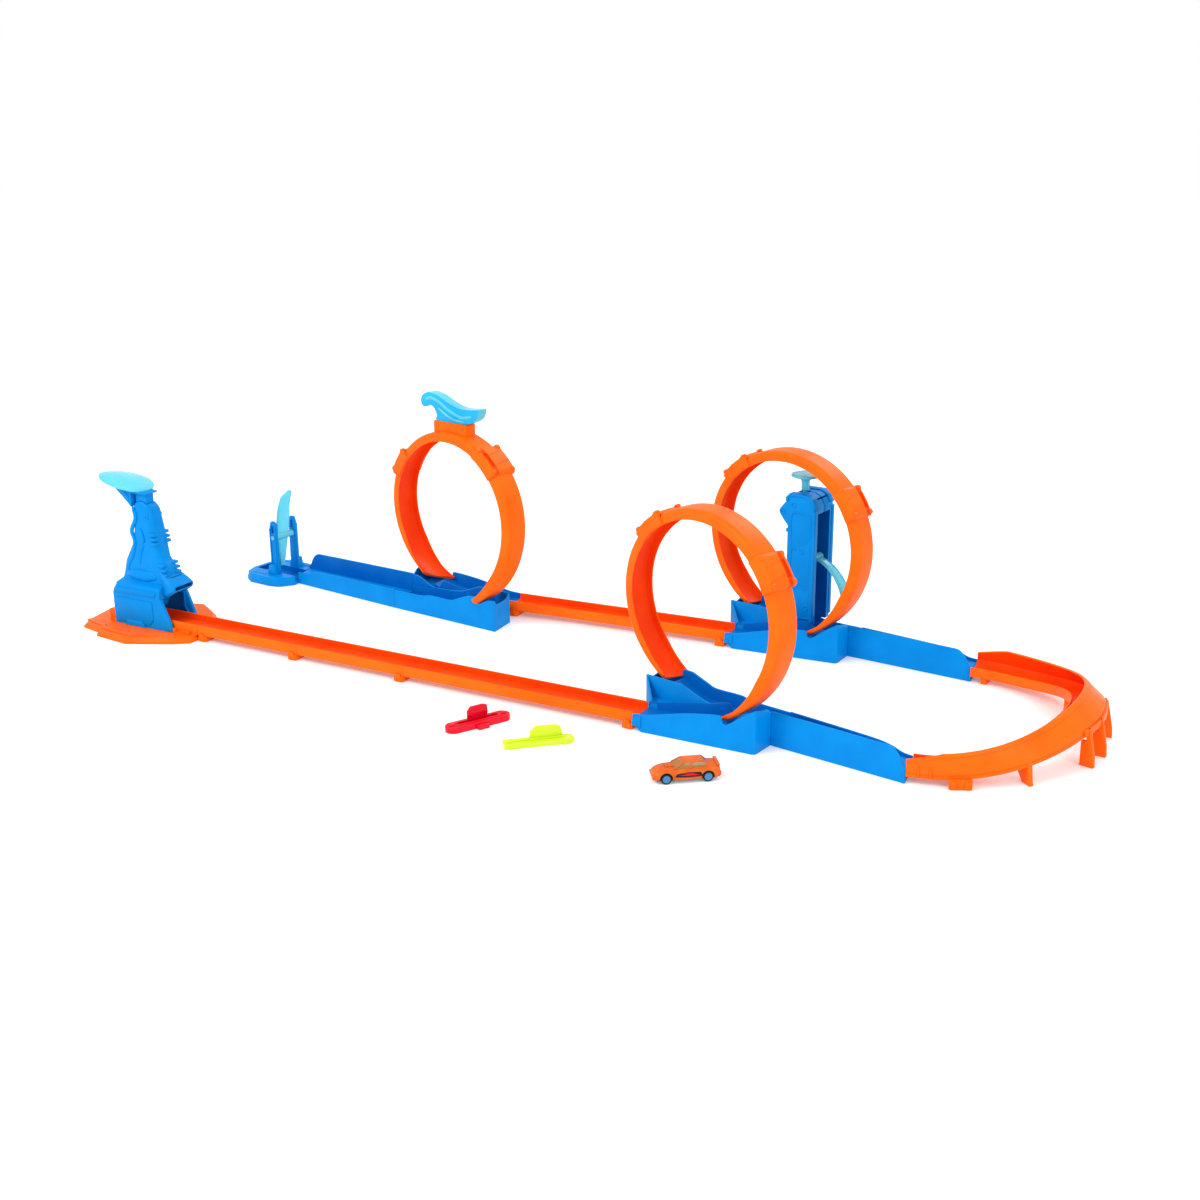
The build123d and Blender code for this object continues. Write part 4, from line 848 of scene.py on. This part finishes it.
def launcher_half(side):
    outer = body_half(side, 0.0, BODY_LEVELS)
    hollow = body_half(side, 3.0, [4] + [z for z in BODY_LEVELS if 10 < z < 190] + [193.5])
    tunnel = block(-70, 100, -21.7, 21.7, 0, 55.8)
    way = block(19, 60, -14, 14, 40, 86)
    neck_room = block(-1.8, 22.4, -8.6, 8.6, 180, 205)
    # The cut faces of the hollow, tunnel, slot and neck room take the darker blue: painted shade inside the shell.
    shell = carve(outer, [hollow, tunnel, way, neck_room], 1)
    mouth = [block(58, 80, -17.5, 17.5, 69.5, 74.6), block(30, 68, -14, 14, 50, 71),
             block(30, 57, -13.9, 13.9, 60, 86)]
    # The cut faces of the mouth take the darker blue too: painted shade.
    parts = [shell, carve(snout_half(side), mouth, 1)]
    # S-shaped ridge, light slanting rib and the crease beside them
    parts.append(ridge([(-2, 190), (2, 172), (-8, 152), (-4, 136), (-10, 116), (-22, 96), (-24, 84)], 6, 1.8,
                       side, 14.6))
    parts.append(ridge([(9, 158), (14, 142), (13, 136)], 5, 2.4, side, 14.6))
    parts.append(ridge([(14, 136), (6, 118), (2, 100)], 4, 1.6, side, 14.6))
    parts.append(ring_boss(24, 176, 3.4, side, 14.0))
    # waist pod
    pod = lathe([(0.2, -2), (22, -2), (22, 0.5), (19, 2.4), (12, 3.4), (0.2, 3.8)], 36)
    pod.transform(Matrix.Diagonal((1.35, 0.42, 1.0, 1.0)))
    parts.append(moved(facing(pod, side), 4, side * 15, 84))
    # bolt bands at the front edge
    for z, x in ((150, 33), (143, 34.5), (136, 36), (104, 46), (97, 49), (90, 51)):
        parts.append(block(x - 7, x + 3.4, *span(side, 6, 16.6), z - 2.2, z + 2.2, 1.0))
    # raised panels on the foot
    for outline, outer_y, edge in (
            ([(-38, 14), (-34, 12), (26, 12), (34, 22), (34, 50), (-38, 50)], 31.4, 0.9),
            ([(-22, 8.3), (-16, 17), (12, 17), (18, 8.3)], 32.8, 0.5),
            ([(-42, 58), (40, 58), (44, 66), (-38, 66)], 31.4, 0.8)):
        parts.append(prism(outline, *span(side, 29, outer_y), "XZ", edge))
    # front leg that reaches out beside the track
    parts.append(prism([(44, 56), (51, 56), (66, 20), (69, 8.3), (56, 8.3), (54, 18), (44, 34)],
                       *span(side, 24.5, 30), "XZ", 1.2))
    return gather(*parts)


for side, name in ((-1, "near"), (1, "far")):
    show(f"launcher_{name}_look", launcher_half(side), [BLUE, BLUE_SHADE], LAUNCHER, "track", "blue",
         f"launcher_shell_{name}")


def pad_ring(share, z):
    """An oval with a flatter near side, lifted in the middle like a shallow dome."""
    turns = (2 * pi * k / 56 for k in range(56))
    return [(46 * share * cos(t), (38 if sin(t) > 0 else 25) * share * sin(t), z) for t in turns]


pad = loft([pad_ring(share, z) for share, z in
            ((0.15, 6.4), (0.45, 5.2), (0.7, 3.2), (0.88, 0.9), (0.93, 0.4), (0.975, -0.1), (0.995, -0.9),
             (1.0, -2.0), (1.0, -3.4), (0.985, -4.4), (0.955, -5), (0.7, -2.6), (0.15, 0.4))])
pad.transform(Matrix.Rotation(radians(10), 4, "Y"))
pad = moved(pad, -27, 0, 223)
LAUNCH_ROD_X, BOOST_ROD_X = 11.0, -9.0
rod = lathe([(0.3, 107.1), (2.6, 107.9), (3.7, 109.5), (4, 111), (4, 170.8), (6.4, 171), (6.4, 174), (4, 174.2),
             (4, 213)], 24, LAUNCH_ROD_X)
neck = [prism([(-42, 221), (-34, 211), (-24, 203), (-14, 194), (-7.4, 187.5), (-6.2, 188.5), (-6.2, 208.5),
               (24, 208.5), (26, 211)], -12, 12, "XZ", 1.6),
        block(-0.6, 21, -7.6, 7.6, 186, 211, 1.4)]
for y in (-12.8, 11.4):
    neck.append(prism([(-30, 215.4), (-22, 205.5), (-10.5, 196), (-9, 202), (-18, 213.6)], y, y + 1.4, "XZ", 0.4))
show("slam_pad_look", gather(pad, rod), [CYAN], LAUNCHER, "slam_pad", "cyan", "launcher_slam_pad")
show("slam_neck_look", gather(*neck), [BLUE], LAUNCHER, "slam_pad", "blue", "launcher_slam_pad")


LAUNCH_PIVOT, BOOST_PIVOT = (33, 98), (10, 128)


def pivot_pin(pivot, half):
    x, z = pivot
    return tube([(x, -half, z), (x, 0, z), (x, half, z)], 2.5, 20)


def screw_heads(spots):
    """Sunk pan heads with a cross recess, at (x, y, z, side)."""
    heads = []
    for x, y, z, side in spots:
        head = lathe([(0.2, -2), (2.6, -2), (2.8, -0.8), (2.2, 0), (1.0, 0.1), (0.9, -0.5), (0.2, -0.5)], 20)
        heads.append(moved(facing(head, side), x, y, z))
    return gather(*heads)


show("launcher_screws_look", screw_heads([(24, -14.2, 176, -1), (-24, -12, 84, -1), (54, -12, 84, -1)]),
     [STEEL], LAUNCHER, "track", "steel", "launcher_screws")
show("launcher_pin_look", pivot_pin(LAUNCH_PIVOT, 13.6), [STEEL], LAUNCHER,
     "track", "steel", "launcher_pivot_pin")


# ---- booster tower ----
TOWER_OUTLINE = [(-22, 34), (-22, 178), (-27, 183), (-36, 195), (-36, 200), (-27, 211), (-22, 214),
                 (-22, 220), (-18, 224), (8, 224), (17, 219), (22, 208), (22, 34)]


def tower_half(side):
    outer = prism(TOWER_OUTLINE, *span(side, 0.0, 27.5), "XZ", 2.6, segments=3)
    cutters = [block(-19.5, 24.6, -17.5, 17.5, 60, 198), block(-30, 30, -17.5, 17.5, 20, 84),
               block(-19.4, 17.6, -17.4, 17.4, 199.4, 219), block(-15.6, -2.4, -6.6, 6.6, 214, 230)]
    # groove for the loop base's wall
    cutters.append(moved(block(-35, 35, -1.85, 1.85, 0, 43), 18.2, -25.8, 0, 10.8))
    # The cut faces of the slot, hollows and groove take the darker blue: painted shade.
    parts = [carve(outer, cutters, 1)]
    for x, z in ((-12, 209), (3, 143), (12, 60), (-29, 198)):
        parts.append(ring_boss(x, z, 4.2, side, 27.3))
    # raised panels with a slanting crease between them
    for outline in ([(-17, 150), (-17, 200), (12, 200), (17, 190), (17, 164), (8, 152)],
                    [(-17, 92), (-17, 144), (-6, 144), (16, 158), (16, 92)],
                    [(-17, 46), (-17, 86), (16, 86), (16, 46)]):
        frame_in = [(x * 0.82 - 0.2, (z - 125) * 0.94 + 125) for x, z in outline]
        parts.append(prism(outline, *span(side, 26.8, 27.9), "XZ", 0.7))
        parts.append(ridge(frame_in[:3], 2.4, 1.0, side, 27.9))
    # flange down the front edge and the cap's shoulder
    parts.append(block(18.6, 23.4, *span(side, 22, 29.4), 40, 204, 1.2))
    parts.append(prism([(-25, 213), (-25, 219), (-19, 225.6), (9, 225.6), (18.6, 220.6), (23.6, 209),
                        (20.6, 208), (15.6, 217.6), (7, 222), (-17, 222), (-21, 218), (-21, 213)],
                       *span(side, 16, 29), "XZ", 0.9))
    for z in (70, 112, 168):
        parts.append(block(-24.2, -20.6, *span(side, 10, 27), z, z + 5, 0.8))
    return gather(*parts)


def coil(low, high, x):
    """A compression spring round a rod."""
    turns, radius, wire = 5, 5.4, 0.7
    rings = []
    for k in range(turns * 20 + 1):
        turn, z = 2 * pi * k / 20, low + (high - low) * k / (turns * 20)
        section = [(radius + wire * cos(t), z + wire * sin(t)) for t in (pi * i / 4 for i in range(8))]
        rings.append([(x + r * cos(turn), r * sin(turn), height) for r, height in section])
    return loft(rings)


# place, rod, lower end, upper end and travel of the press
SPRINGS = {"launcher": (LAUNCHER, LAUNCH_ROD_X, 148.5, 170.2, 10.0),
           "booster": (TOWER, BOOST_ROD_X, 169.4, 192.2, 15.0)}
for owner, (place, x, low, high, travel) in SPRINGS.items():
    spring = show(f"{owner}_spring_look", coil(low, high, x), [STEEL], place, "track", "steel",
                  f"{owner}_spring")
    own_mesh(spring)

for side, name in ((-1, "near"), (1, "far")):
    show(f"tower_{name}_look", tower_half(side), [BLUE, BLUE_SHADE], TOWER, "track", "blue",
         f"booster_shell_{name}")

tower_heads = [(x, -27.2, z, -1) for x, z in ((-12, 209), (3, 143), (12, 60))] + [(-29, 27.2, 198, 1)]
show("tower_screws_look", screw_heads(tower_heads), [STEEL], TOWER, "track", "steel", "booster_screws")
show("tower_pin_look", pivot_pin(BOOST_PIVOT, 26.6), [STEEL], TOWER,
     "track", "steel", "booster_pivot_pin")

button = lathe([(0.3, 139.9), (2.6, 140.7), (3.7, 142.3), (4, 143.8), (4, 192.8), (6.4, 193), (6.4, 196),
                (4, 196.2), (4, 225.6), (6, 226.4), (6, 238), (7.4, 242.5), (11.5, 245), (19.6, 245.4), (21, 246.6),
                (21, 248.4), (20.2, 249.6), (18.6, 250), (17.4, 249.4), (8, 249.2), (0.2, 249.5)], 48,
               BOOST_ROD_X)
webs = [moved(prism([(3, 241), (3, 244.8), (15, 244.8), (8, 242)], -1, 1, "XZ", 0.3), BOOST_ROD_X, 0, 0, turn)
        for turn in (0, 90, 180, 270)]
show("button_look", gather(button, *webs), [CYAN], TOWER, "boost_button", "cyan", "booster_button")


def arm(pivot, stub, path, half_widths, thick, hub):
    """A kicker: hub, short stub and a curved ribbed arm that widens to a pad."""
    x, z = pivot
    parts = [tube([(x, -hub, z), (x, hub, z)], 6, 28)]
    parts.append(tube([(x, 0, z), (x + stub[0] * 0.5, 0, z + stub[1] * 0.5), (x + stub[0], 0, z + stub[1])],
                      [3.6, 3.2, 3.0], 16))
    line = spline(path, 6)
    rings = []
    for i, (a, b) in enumerate(line):
        xa, za = line[max(i - 1, 0)]
        xb, zb = line[min(i + 1, len(line) - 1)]
        size = hypot(xb - xa, zb - za)
        nx, nz = -(zb - za) / size, (xb - xa) / size
        share = i / (len(line) - 1)
        w = half_widths[0] + (half_widths[1] - half_widths[0]) * share ** 1.5
        edge = min(1.0, (len(line) - i) / 4)
        w *= 0.6 + 0.4 * edge
        t = thick / 2
        rings.append([(x + a + nx * o, y, z + b + nz * o)
                      for y, o in ((-w, -t * 0.5), (-w + 0.8, -t), (w - 0.8, -t), (w, -t * 0.5), (w, t * 1.3),
                                   (w - 1.2, t * 1.6), (w - 1.8, t), (-w + 1.8, t), (-w + 1.2, t * 1.6),
                                   (-w, t * 1.3))])
    parts.append(loft(rings))
    return gather(*parts)


LAUNCH_STUB, BOOST_STUB = (-21.4, 5.0), (-18.5, 7.5)
launch_arm = arm(LAUNCH_PIVOT, LAUNCH_STUB, [(0, 0), (2, -18), (0, -40), (-8, -60)], (5, 11), 5, 9)
boost_arm = arm(BOOST_PIVOT, BOOST_STUB, [(0, 0), (14, -3), (30, -14), (44, -32), (53, -53)], (6, 12), 4, 14.5)
fin = prism([(8, 128), (9, 158), (10.5, 163), (12.5, 158), (14, 128)], -14.6, -11.4, "XZ", 0.8)
show("launch_kicker_look", launch_arm, [BLUE], LAUNCHER, "launch_kicker", "blue", "launcher_kicker")
show("boost_kicker_look", gather(boost_arm, fin), [CYAN], TOWER, "boost_kicker", "cyan", "booster_kicker")


# ---- wave ornament ----
WAVE_HALF = 8.5
over = spline([(-61, 326), (-58, 334), (-50, 339.5), (-40, 341), (-22, 337.5), (0, 328.5), (26, 323),
               (60, 326)], 6)
under = spline([(60, 326), (57, 315), (50, 307), (38, 302), (20, 300.2), (-27, 300.2), (-28, 308), (-32, 316),
                (-38, 321), (-46, 321), (-52, 318), (-58, 319.5), (-61, 326)], 5)
wave_outline = over[:-1] + under[:-1]
wave = prism(wave_outline, -WAVE_HALF, WAVE_HALF, "XZ", 1.6, segments=3)
swoops = []
for side in (-1, 1):
    swoops.append(ridge([(-50, 330), (-38, 333), (-22, 328), (0, 317), (24, 310), (44, 314)], 4.4, 1.4, side,
                        WAVE_HALF - 0.4))
    swoops.append(ridge([(-26, 320), (-10, 311), (8, 305), (30, 304)], 3.0, 1.1, side, WAVE_HALF - 0.4))
for swoop in swoops:
    tone(swoop, 1)
# Faces that look up take the lighter cyan as painted light on the top; the end past x 48 takes it too.
for face in wave.faces:
    if face.normal.z > 0.6 or face.calc_center_median().x > 48:
        face.material_index = 1
pedestal = carve(block(-33, 33, -11, 11, 281, 300, 1.6, 3),
                 [tube([(0, -40, 152), (0, 40, 152)], LOOP_R + 0.25, 128)])
for x in (-26, 26):
    pedestal = gather(pedestal, block(x - 2, x + 2, -11.8, 11.8, 290, 298.4, 0.7))
show("wave_look", gather(wave, *swoops), [WAVE, CYAN], CREST, "track", "cyan", "wave_ornament")
show("pedestal_look", pedestal, [ORANGE, ORANGE_SHADE], CREST, "track", "orange", "wave_pedestal")


# ---- finish gate ----
GATE_PLATE = [(-40.9, 21), (-36, 30), (-26, 44), (-8, 49), (34, 49), (52, 38), (60, 18), (60, -18), (52, -38),
              (34, -49), (-10, -49), (-24, -44), (-29, -21)]
GATE_POST, GATE_HINGE = 21.5, 74
PLATE_MIDDLE = 10.0


def about(points, share):
    """The outline drawn in towards the plate's middle."""
    return [(PLATE_MIDDLE + (x - PLATE_MIDDLE) * share, y * share) for x, y in points]


tray = loft([[(x, y, z) for x, y in about(GATE_PLATE, share)]
             for share, z in ((0.99, 0), (1.0, 0.8), (1.0, 6), (0.975, 7.2), (0.965, 12.8), (0.945, 14))])
# The tray's cut recess takes the darker blue: painted shade.
tray = carve(tray, [block(-50, 50, -17, 17, 6, 30)], 1)
gate_parts = [tray]
for side in (-1, 1):
    y0, y1 = span(side, GATE_POST - 2.5, GATE_POST + 2.5)
    post = prism([(-11, 13), (11, 13), (8.4, 26), (7.2, 92), (5, 100), (2.6, 102), (-2.6, 102), (-5, 100),
                  (-7.2, 92), (-8.4, 26)], y0, y1, "XZ", 1.2)
    # The post's cut slot and hinge hole take the darker blue: painted shade.
    gate_parts.append(carve(post, [prism([(-2.6, 82), (2.6, 82), (2.6, 95), (-2.6, 95)], y0 - 2, y1 + 2, "XZ"),
                                   tube([(0, y0 - 2, GATE_HINGE), (0, y1 + 2, GATE_HINGE)], 3.7, 32)], 1))
    out = side * (GATE_POST + 2.5)
    low, high = sorted((out - side * 0.4, out + side * 1.6))
    gate_parts.append(block(-6.8, -4.6, low, high, 20, 90, 0.5))
    gate_parts.append(block(4.6, 6.8, low, high, 20, 90, 0.5))
    gate_parts.append(prism([(-9, 13), (9, 13), (5, 30), (-5, 30)], *span(side, 23, 33), "XZ", 1.0))
    gate_parts.append(block(-20, 40, *span(side, 34, 37), 11, 15, 0.8))
show("gate_base_look", gather(*gate_parts), [BLUE, BLUE_SHADE], GATE, "track", "blue", "finish_gate_base")

back = spline([(11, 24), (14, 60), (13, 100), (3, 132), (-18, 147)], 6)
front = spline([(-24, 144), (-17, 122), (-15, 104), (-8, 70), (3, 24)], 6)
blade = prism(back + front, -2, 2, "YZ", 1.1, segments=3)
rib_back = [(y - 2.4 if y > 0 else y + 1, z - 1.5) for y, z in back[:-3]]
rib_line = tube([(1.6, y, z) for y, z in rib_back], 1.1, 10)
pin = tube([(0, -GATE_POST - 4, GATE_HINGE), (0, GATE_POST + 4, GATE_HINGE)], 3.5, 28)
hub = tube([(0, -18, GATE_HINGE), (0, 18, GATE_HINGE)], 5.5, 32)
show("fin_look", gather(blade, rib_line, pin, hub), [CYAN], GATE, "fin", "cyan", "finish_fin")


# ---- car ----
CAR_HEIGHTS = [(-40.3, 12), (-40, 17.6), (-36, 18.8), (-20, 18.6), (-8, 18.2), (12, 17.8), (24, 16.8),
               (36, 14.6), (39.6, 11.8), (40.3, 10)]
CAR_HALVES = [(-40.3, 11.6), (-39, 13.4), (-34, 14.2), (-26, 14.9), (-14, 14.3), (0, 14.0), (14, 14.4),
              (26, 14.8), (34, 13.8), (39, 12.0), (40.3, 10)]
CAR_STATIONS = [-40.3, -39.4, -37, -33, -29, -25, -20, -14, -8, -2, 4, 10, 16, 20, 25, 29, 33, 37, 39.4, 40.3]
WHEEL_R, AXLE_X = 6.5, 25.0
rings = []
for x in CAR_STATIONS:
    top, half = level(CAR_HEIGHTS, x), level(CAR_HALVES, x)
    rings.append([(x, -half + 1.2, 4.6), (x, -half, 6), (x, -half - 0.1, 10), (x, -half, top - 4.2),
                  (x, -half + 1.0, top - 1.6), (x, -half + 3.4, top), (x, 0, top + 0.7), (x, half - 3.4, top),
                  (x, half - 1.0, top - 1.6), (x, half, top - 4.2), (x, half + 0.1, 10), (x, half, 6),
                  (x, half - 1.2, 4.6)])
arches = [tube([(x, y0, WHEEL_R), (x, y1, WHEEL_R)], 7.7, 36)
          for x in (-AXLE_X, AXLE_X) for y0, y1 in ((-30, -9.4), (9.4, 30))]
car_shell = carve(loft(rings), arches, 1)
roof = loft([[(-8 + x, y, z) for x, y in ((-hx, -hy), (hx, -hy), (hx, hy), (-hx, hy))]
             for hx, hy, z in ((13.4, 8.6, 23.4), (13.0, 9.2, 24.2), (12.0, 8.6, 25.0), (10.5, 7.2, 25.3))])
pillars = [tube([(-6 + sx * 21, sy * 11.4, 17.6), (-8 + sx * 12.6, sy * 8.7, 24.0)], 0.9, 8)
           for sx in (-1, 1) for sy in (-1, 1)]
pillars += [tube([(-4, sy * 11.9, 17.6), (-6, sy * 8.9, 24.0)], 0.8, 8) for sy in (-1, 1)]
trims = [block(-41.2, -38.2, -12.6, 12.6, 6.4, 11.4, 1.0), block(38.0, 41.2, -11.6, 11.6, 6.4, 10.4, 1.0),
         block(-39.6, -35.4, -12.4, 12.4, 18.6, 20.4, 0.7), block(14, 24, -4, 4, 17.4, 19.2, 0.8)]
trims += [block(-16, 15, *span(sy, 13.6, 15.2), 5.0, 7.0, 0.5) for sy in (-1, 1)]
show("car_body_look", gather(car_shell, roof, *pillars, *trims), [PAINT, BLACK], CAR, "car", "car_paint",
     "car_body")
glass = loft([[(-6 + x - shift, y, z) for x, y in ((-hx, -hy), (hx, -hy), (hx, hy), (-hx, hy))]
              for hx, hy, z, shift in ((21.6, 11.5, 17.4, 0), (13.2, 8.9, 23.9, 2))])
show("car_windows_look", soften(glass, 0.5), [GLASS], CAR, "car", "car_glass", "car_windows")
# dark flash with a red stroke on each side
marks, strokes = [], []
for side in (-1, 1):
    for store, outline, lift in (
            (marks, [(-19, 8), (-16, 13.2), (-2, 13.6), (12, 12.2), (15, 8.4), (2, 7.4)], 0.22),
            (strokes, [(-15, 9.4), (-6, 12.6), (6, 12.4), (-1, 11), (11, 10.6), (0, 9.2), (-8, 9.6)], 0.36)):
        store.append(loft([[(x, (level(CAR_HALVES, x) + out) * side, z) for x, z in outline]
                           for out in (-0.4, lift)]))
show("car_marks", gather(*marks), [BLACK], CAR, "car", "car_black")
show("car_strokes", gather(*strokes), [PINK], CAR, "car", "red_clear")
sole = [block(-36, 36, -12.6, 12.6, 3.9, 5.4, 0.5), block(-14, 14, -9, 9, 3.4, 5, 0.6)]
sole += [block(x - 2.5, x + 2.5, -8.4, 8.4, 4.2, 9.2, 0.5) for x in (-AXLE_X, AXLE_X)]
show("car_chassis_look", gather(*sole), [BLACK], CAR, "car", "car_black", "car_chassis")


def wheel_pair(x):
    tyres, rims = [], []
    for side in (-1, 1):
        tyre = lathe([(4.7, 2.2), (5.5, 2.6), (6.2, 2.3), (6.5, 1.6), (6.5, -1.6), (6.2, -2.3), (4.7, -2.5),
                      (4.5, -1.6), (4.5, 1.4)], 44)
        rim = [lathe([(0.8, 1.9), (1.7, 2.2), (1.9, 1.5), (1.9, -2), (0.8, -2)], 20),
               lathe([(4.65, 2.3), (4.0, 2.4), (3.8, 1.6), (3.9, -2), (4.6, -2)], 36)]
        rim += [moved(prism([(1.4, -0.7), (4.2, -1.0), (4.2, 1.0), (1.4, 0.7)], -1.2, 2.0, "XY", 0.2), turn=72 * k)
                for k in range(5)]
        for solid in [tyre] + rim:
            moved(facing(solid, side), x, side * 12.5, WHEEL_R)
        tyres.append(tyre)
        rims += rim
    return gather(*tyres), gather(*rims)


for end, x in (("front", AXLE_X), ("rear", -AXLE_X)):
    tyres, rims = wheel_pair(x)
    piece(f"tyres_{end}", skin(f"tyres_{end}", tyres, [BLACK]), CAR, f"car_{end}", "tyre", f"car_{end}_wheels")
    piece(f"rims_{end}", skin(f"rims_{end}", rims, [RIM]), CAR, f"car_{end}", "tyre")


# ---- loose clips ----
def pill(length, width):
    """Outline of a slot shape along X."""
    count = 12
    r, reach = width / 2, (length - width) / 2
    right = [(reach + r * sin(pi * k / count), -r * cos(pi * k / count)) for k in range(count + 1)]
    return right + [(-x, -y) for x, y in right]


red_bar = carve(prism(pill(92, 22), 0, 8, "XY", 1.0, segments=3), [prism(pill(60, 7), -2, 12)])
red_parts = [red_bar, prism([(-11, 5), (17, 5), (19, 12), (18, 22), (12, 24), (-6, 24), (-11, 18)], 6.4, 9.6,
                            "XZ", 0.9),
             block(-8, 8, -17.4, -10.4, 0, 6, 0.9)]
for x in (-38, 38):
    red_parts.append(moved(lathe([(0.2, 7), (3.6, 7), (3.6, 9), (2.8, 9.6), (0.2, 9.6)], 24), x))
red_parts.append(prism(pill(66, 12), 7, 8.8, "XY", 0.5))
red_parts[-1] = carve(red_parts[-1], [prism(pill(60, 7), 0, 12)])
show("red_clip_look", gather(*red_parts), [PINK], spot(17, -233, 62), "red_clip_body", "red_clear",
     "red_clip")
lime_parts = [prism([(-46, -8.5), (-44, -10), (30, -9.5), (40, -8), (44, -2), (42, 7), (36, 10), (-43, 10),
                     (-46, 8.5)], 0, 6, "XY", 1.0, segments=3),
              prism([(-12, 4), (28, 4), (30, 10), (27, 20), (20, 23), (-4, 23), (-12, 16)], 1.6, 4.6, "XZ", 0.9),
              block(26.5, 35.5, -11, 11, 0, 4, 0.8), block(-36, 30, -1, 1, 5.4, 8.4, 0.5)]
lime_parts.append(moved(lathe([(0.2, 5), (4, 5), (4, 7.4), (3, 8), (0.2, 8)], 24), -38))
lime_parts.append(prism([(-8, 8), (24, 8), (22, 18), (-4, 18)], 0.8, 2.0, "XZ", 0.4))
show("lime_clip_look", gather(*lime_parts), [LIME], spot(118, -248, 42), "lime_clip_body", "lime_clear",
     "lime_clip")


# ---- camera, floor and light ----
scene = bpy.context.scene
RIGHT, UP, AHEAD = (0.8766, 0.4812, -0.0076), (-0.1437, 0.2769, 0.9501), (-0.4593, 0.8318, -0.3118)
camera_data = bpy.data.cameras.new("camera")
camera = bpy.data.objects.new("camera", camera_data)
scene.collection.objects.link(camera)
CAMERA_AT = (1.0640, -1.8034, 0.7841)
rows = [(r, u, -a, at) for r, u, a, at in zip(RIGHT, UP, AHEAD, CAMERA_AT)]
camera.matrix_world = Matrix((*rows, (0, 0, 0, 1)))
camera_data.lens = 47.64
camera_data.sensor_width = 36.0
camera_data.clip_start, camera_data.clip_end = 0.05, 60.0
scene.camera = camera

floor_white = plastic("floor_white", (0.86, 0.86, 0.86), (0.88, 0.88, 0.88), (0.6, 0.7), 0.02, coat=0.0)
floor_shader = nodes_of(floor_white)[1]
floor_shader.inputs["Emission Color"].default_value = (1, 1, 1, 1)
floor_shader.inputs["Emission Strength"].default_value = 0.16
floor_mesh = skin("floor", prism([(-9000, -9000), (9000, -9000), (9000, 9000), (-9000, 9000)], -40, -0.2),
                  [floor_white])
floor = bpy.data.objects.new("floor", floor_mesh)
scene.collection.objects.link(floor)

world = bpy.data.worlds.new("studio")
scene.world = world
world.use_nodes = True
backdrop = next(n for n in world.node_tree.nodes if n.type == "BACKGROUND")
backdrop.inputs["Color"].default_value = (1.0, 1.0, 1.0, 1)
backdrop.inputs["Strength"].default_value = 1.0


def soft_light(name, position, target, size, power):
    data = bpy.data.lights.new(name, "AREA")
    data.shape, data.size, data.energy = "DISK", size, power
    lamp = bpy.data.objects.new(name, data)
    scene.collection.objects.link(lamp)
    lamp.location = position
    lamp.rotation_mode = "QUATERNION"
    lamp.rotation_quaternion = (Vector(target) - Vector(position)).to_track_quat("-Z", "Y")


soft_light("key", (-1.2, -2.2, 2.6), (0, 0, 0), 1.6, 55)
soft_light("fill", (2.6, -1.2, 1.8), (0.2, 0, 0), 1.8, 28)
soft_light("rim", (0.4, 2.6, 2.2), (0, 0, 0.1), 1.6, 26)
scene.view_settings.view_transform = "Standard"
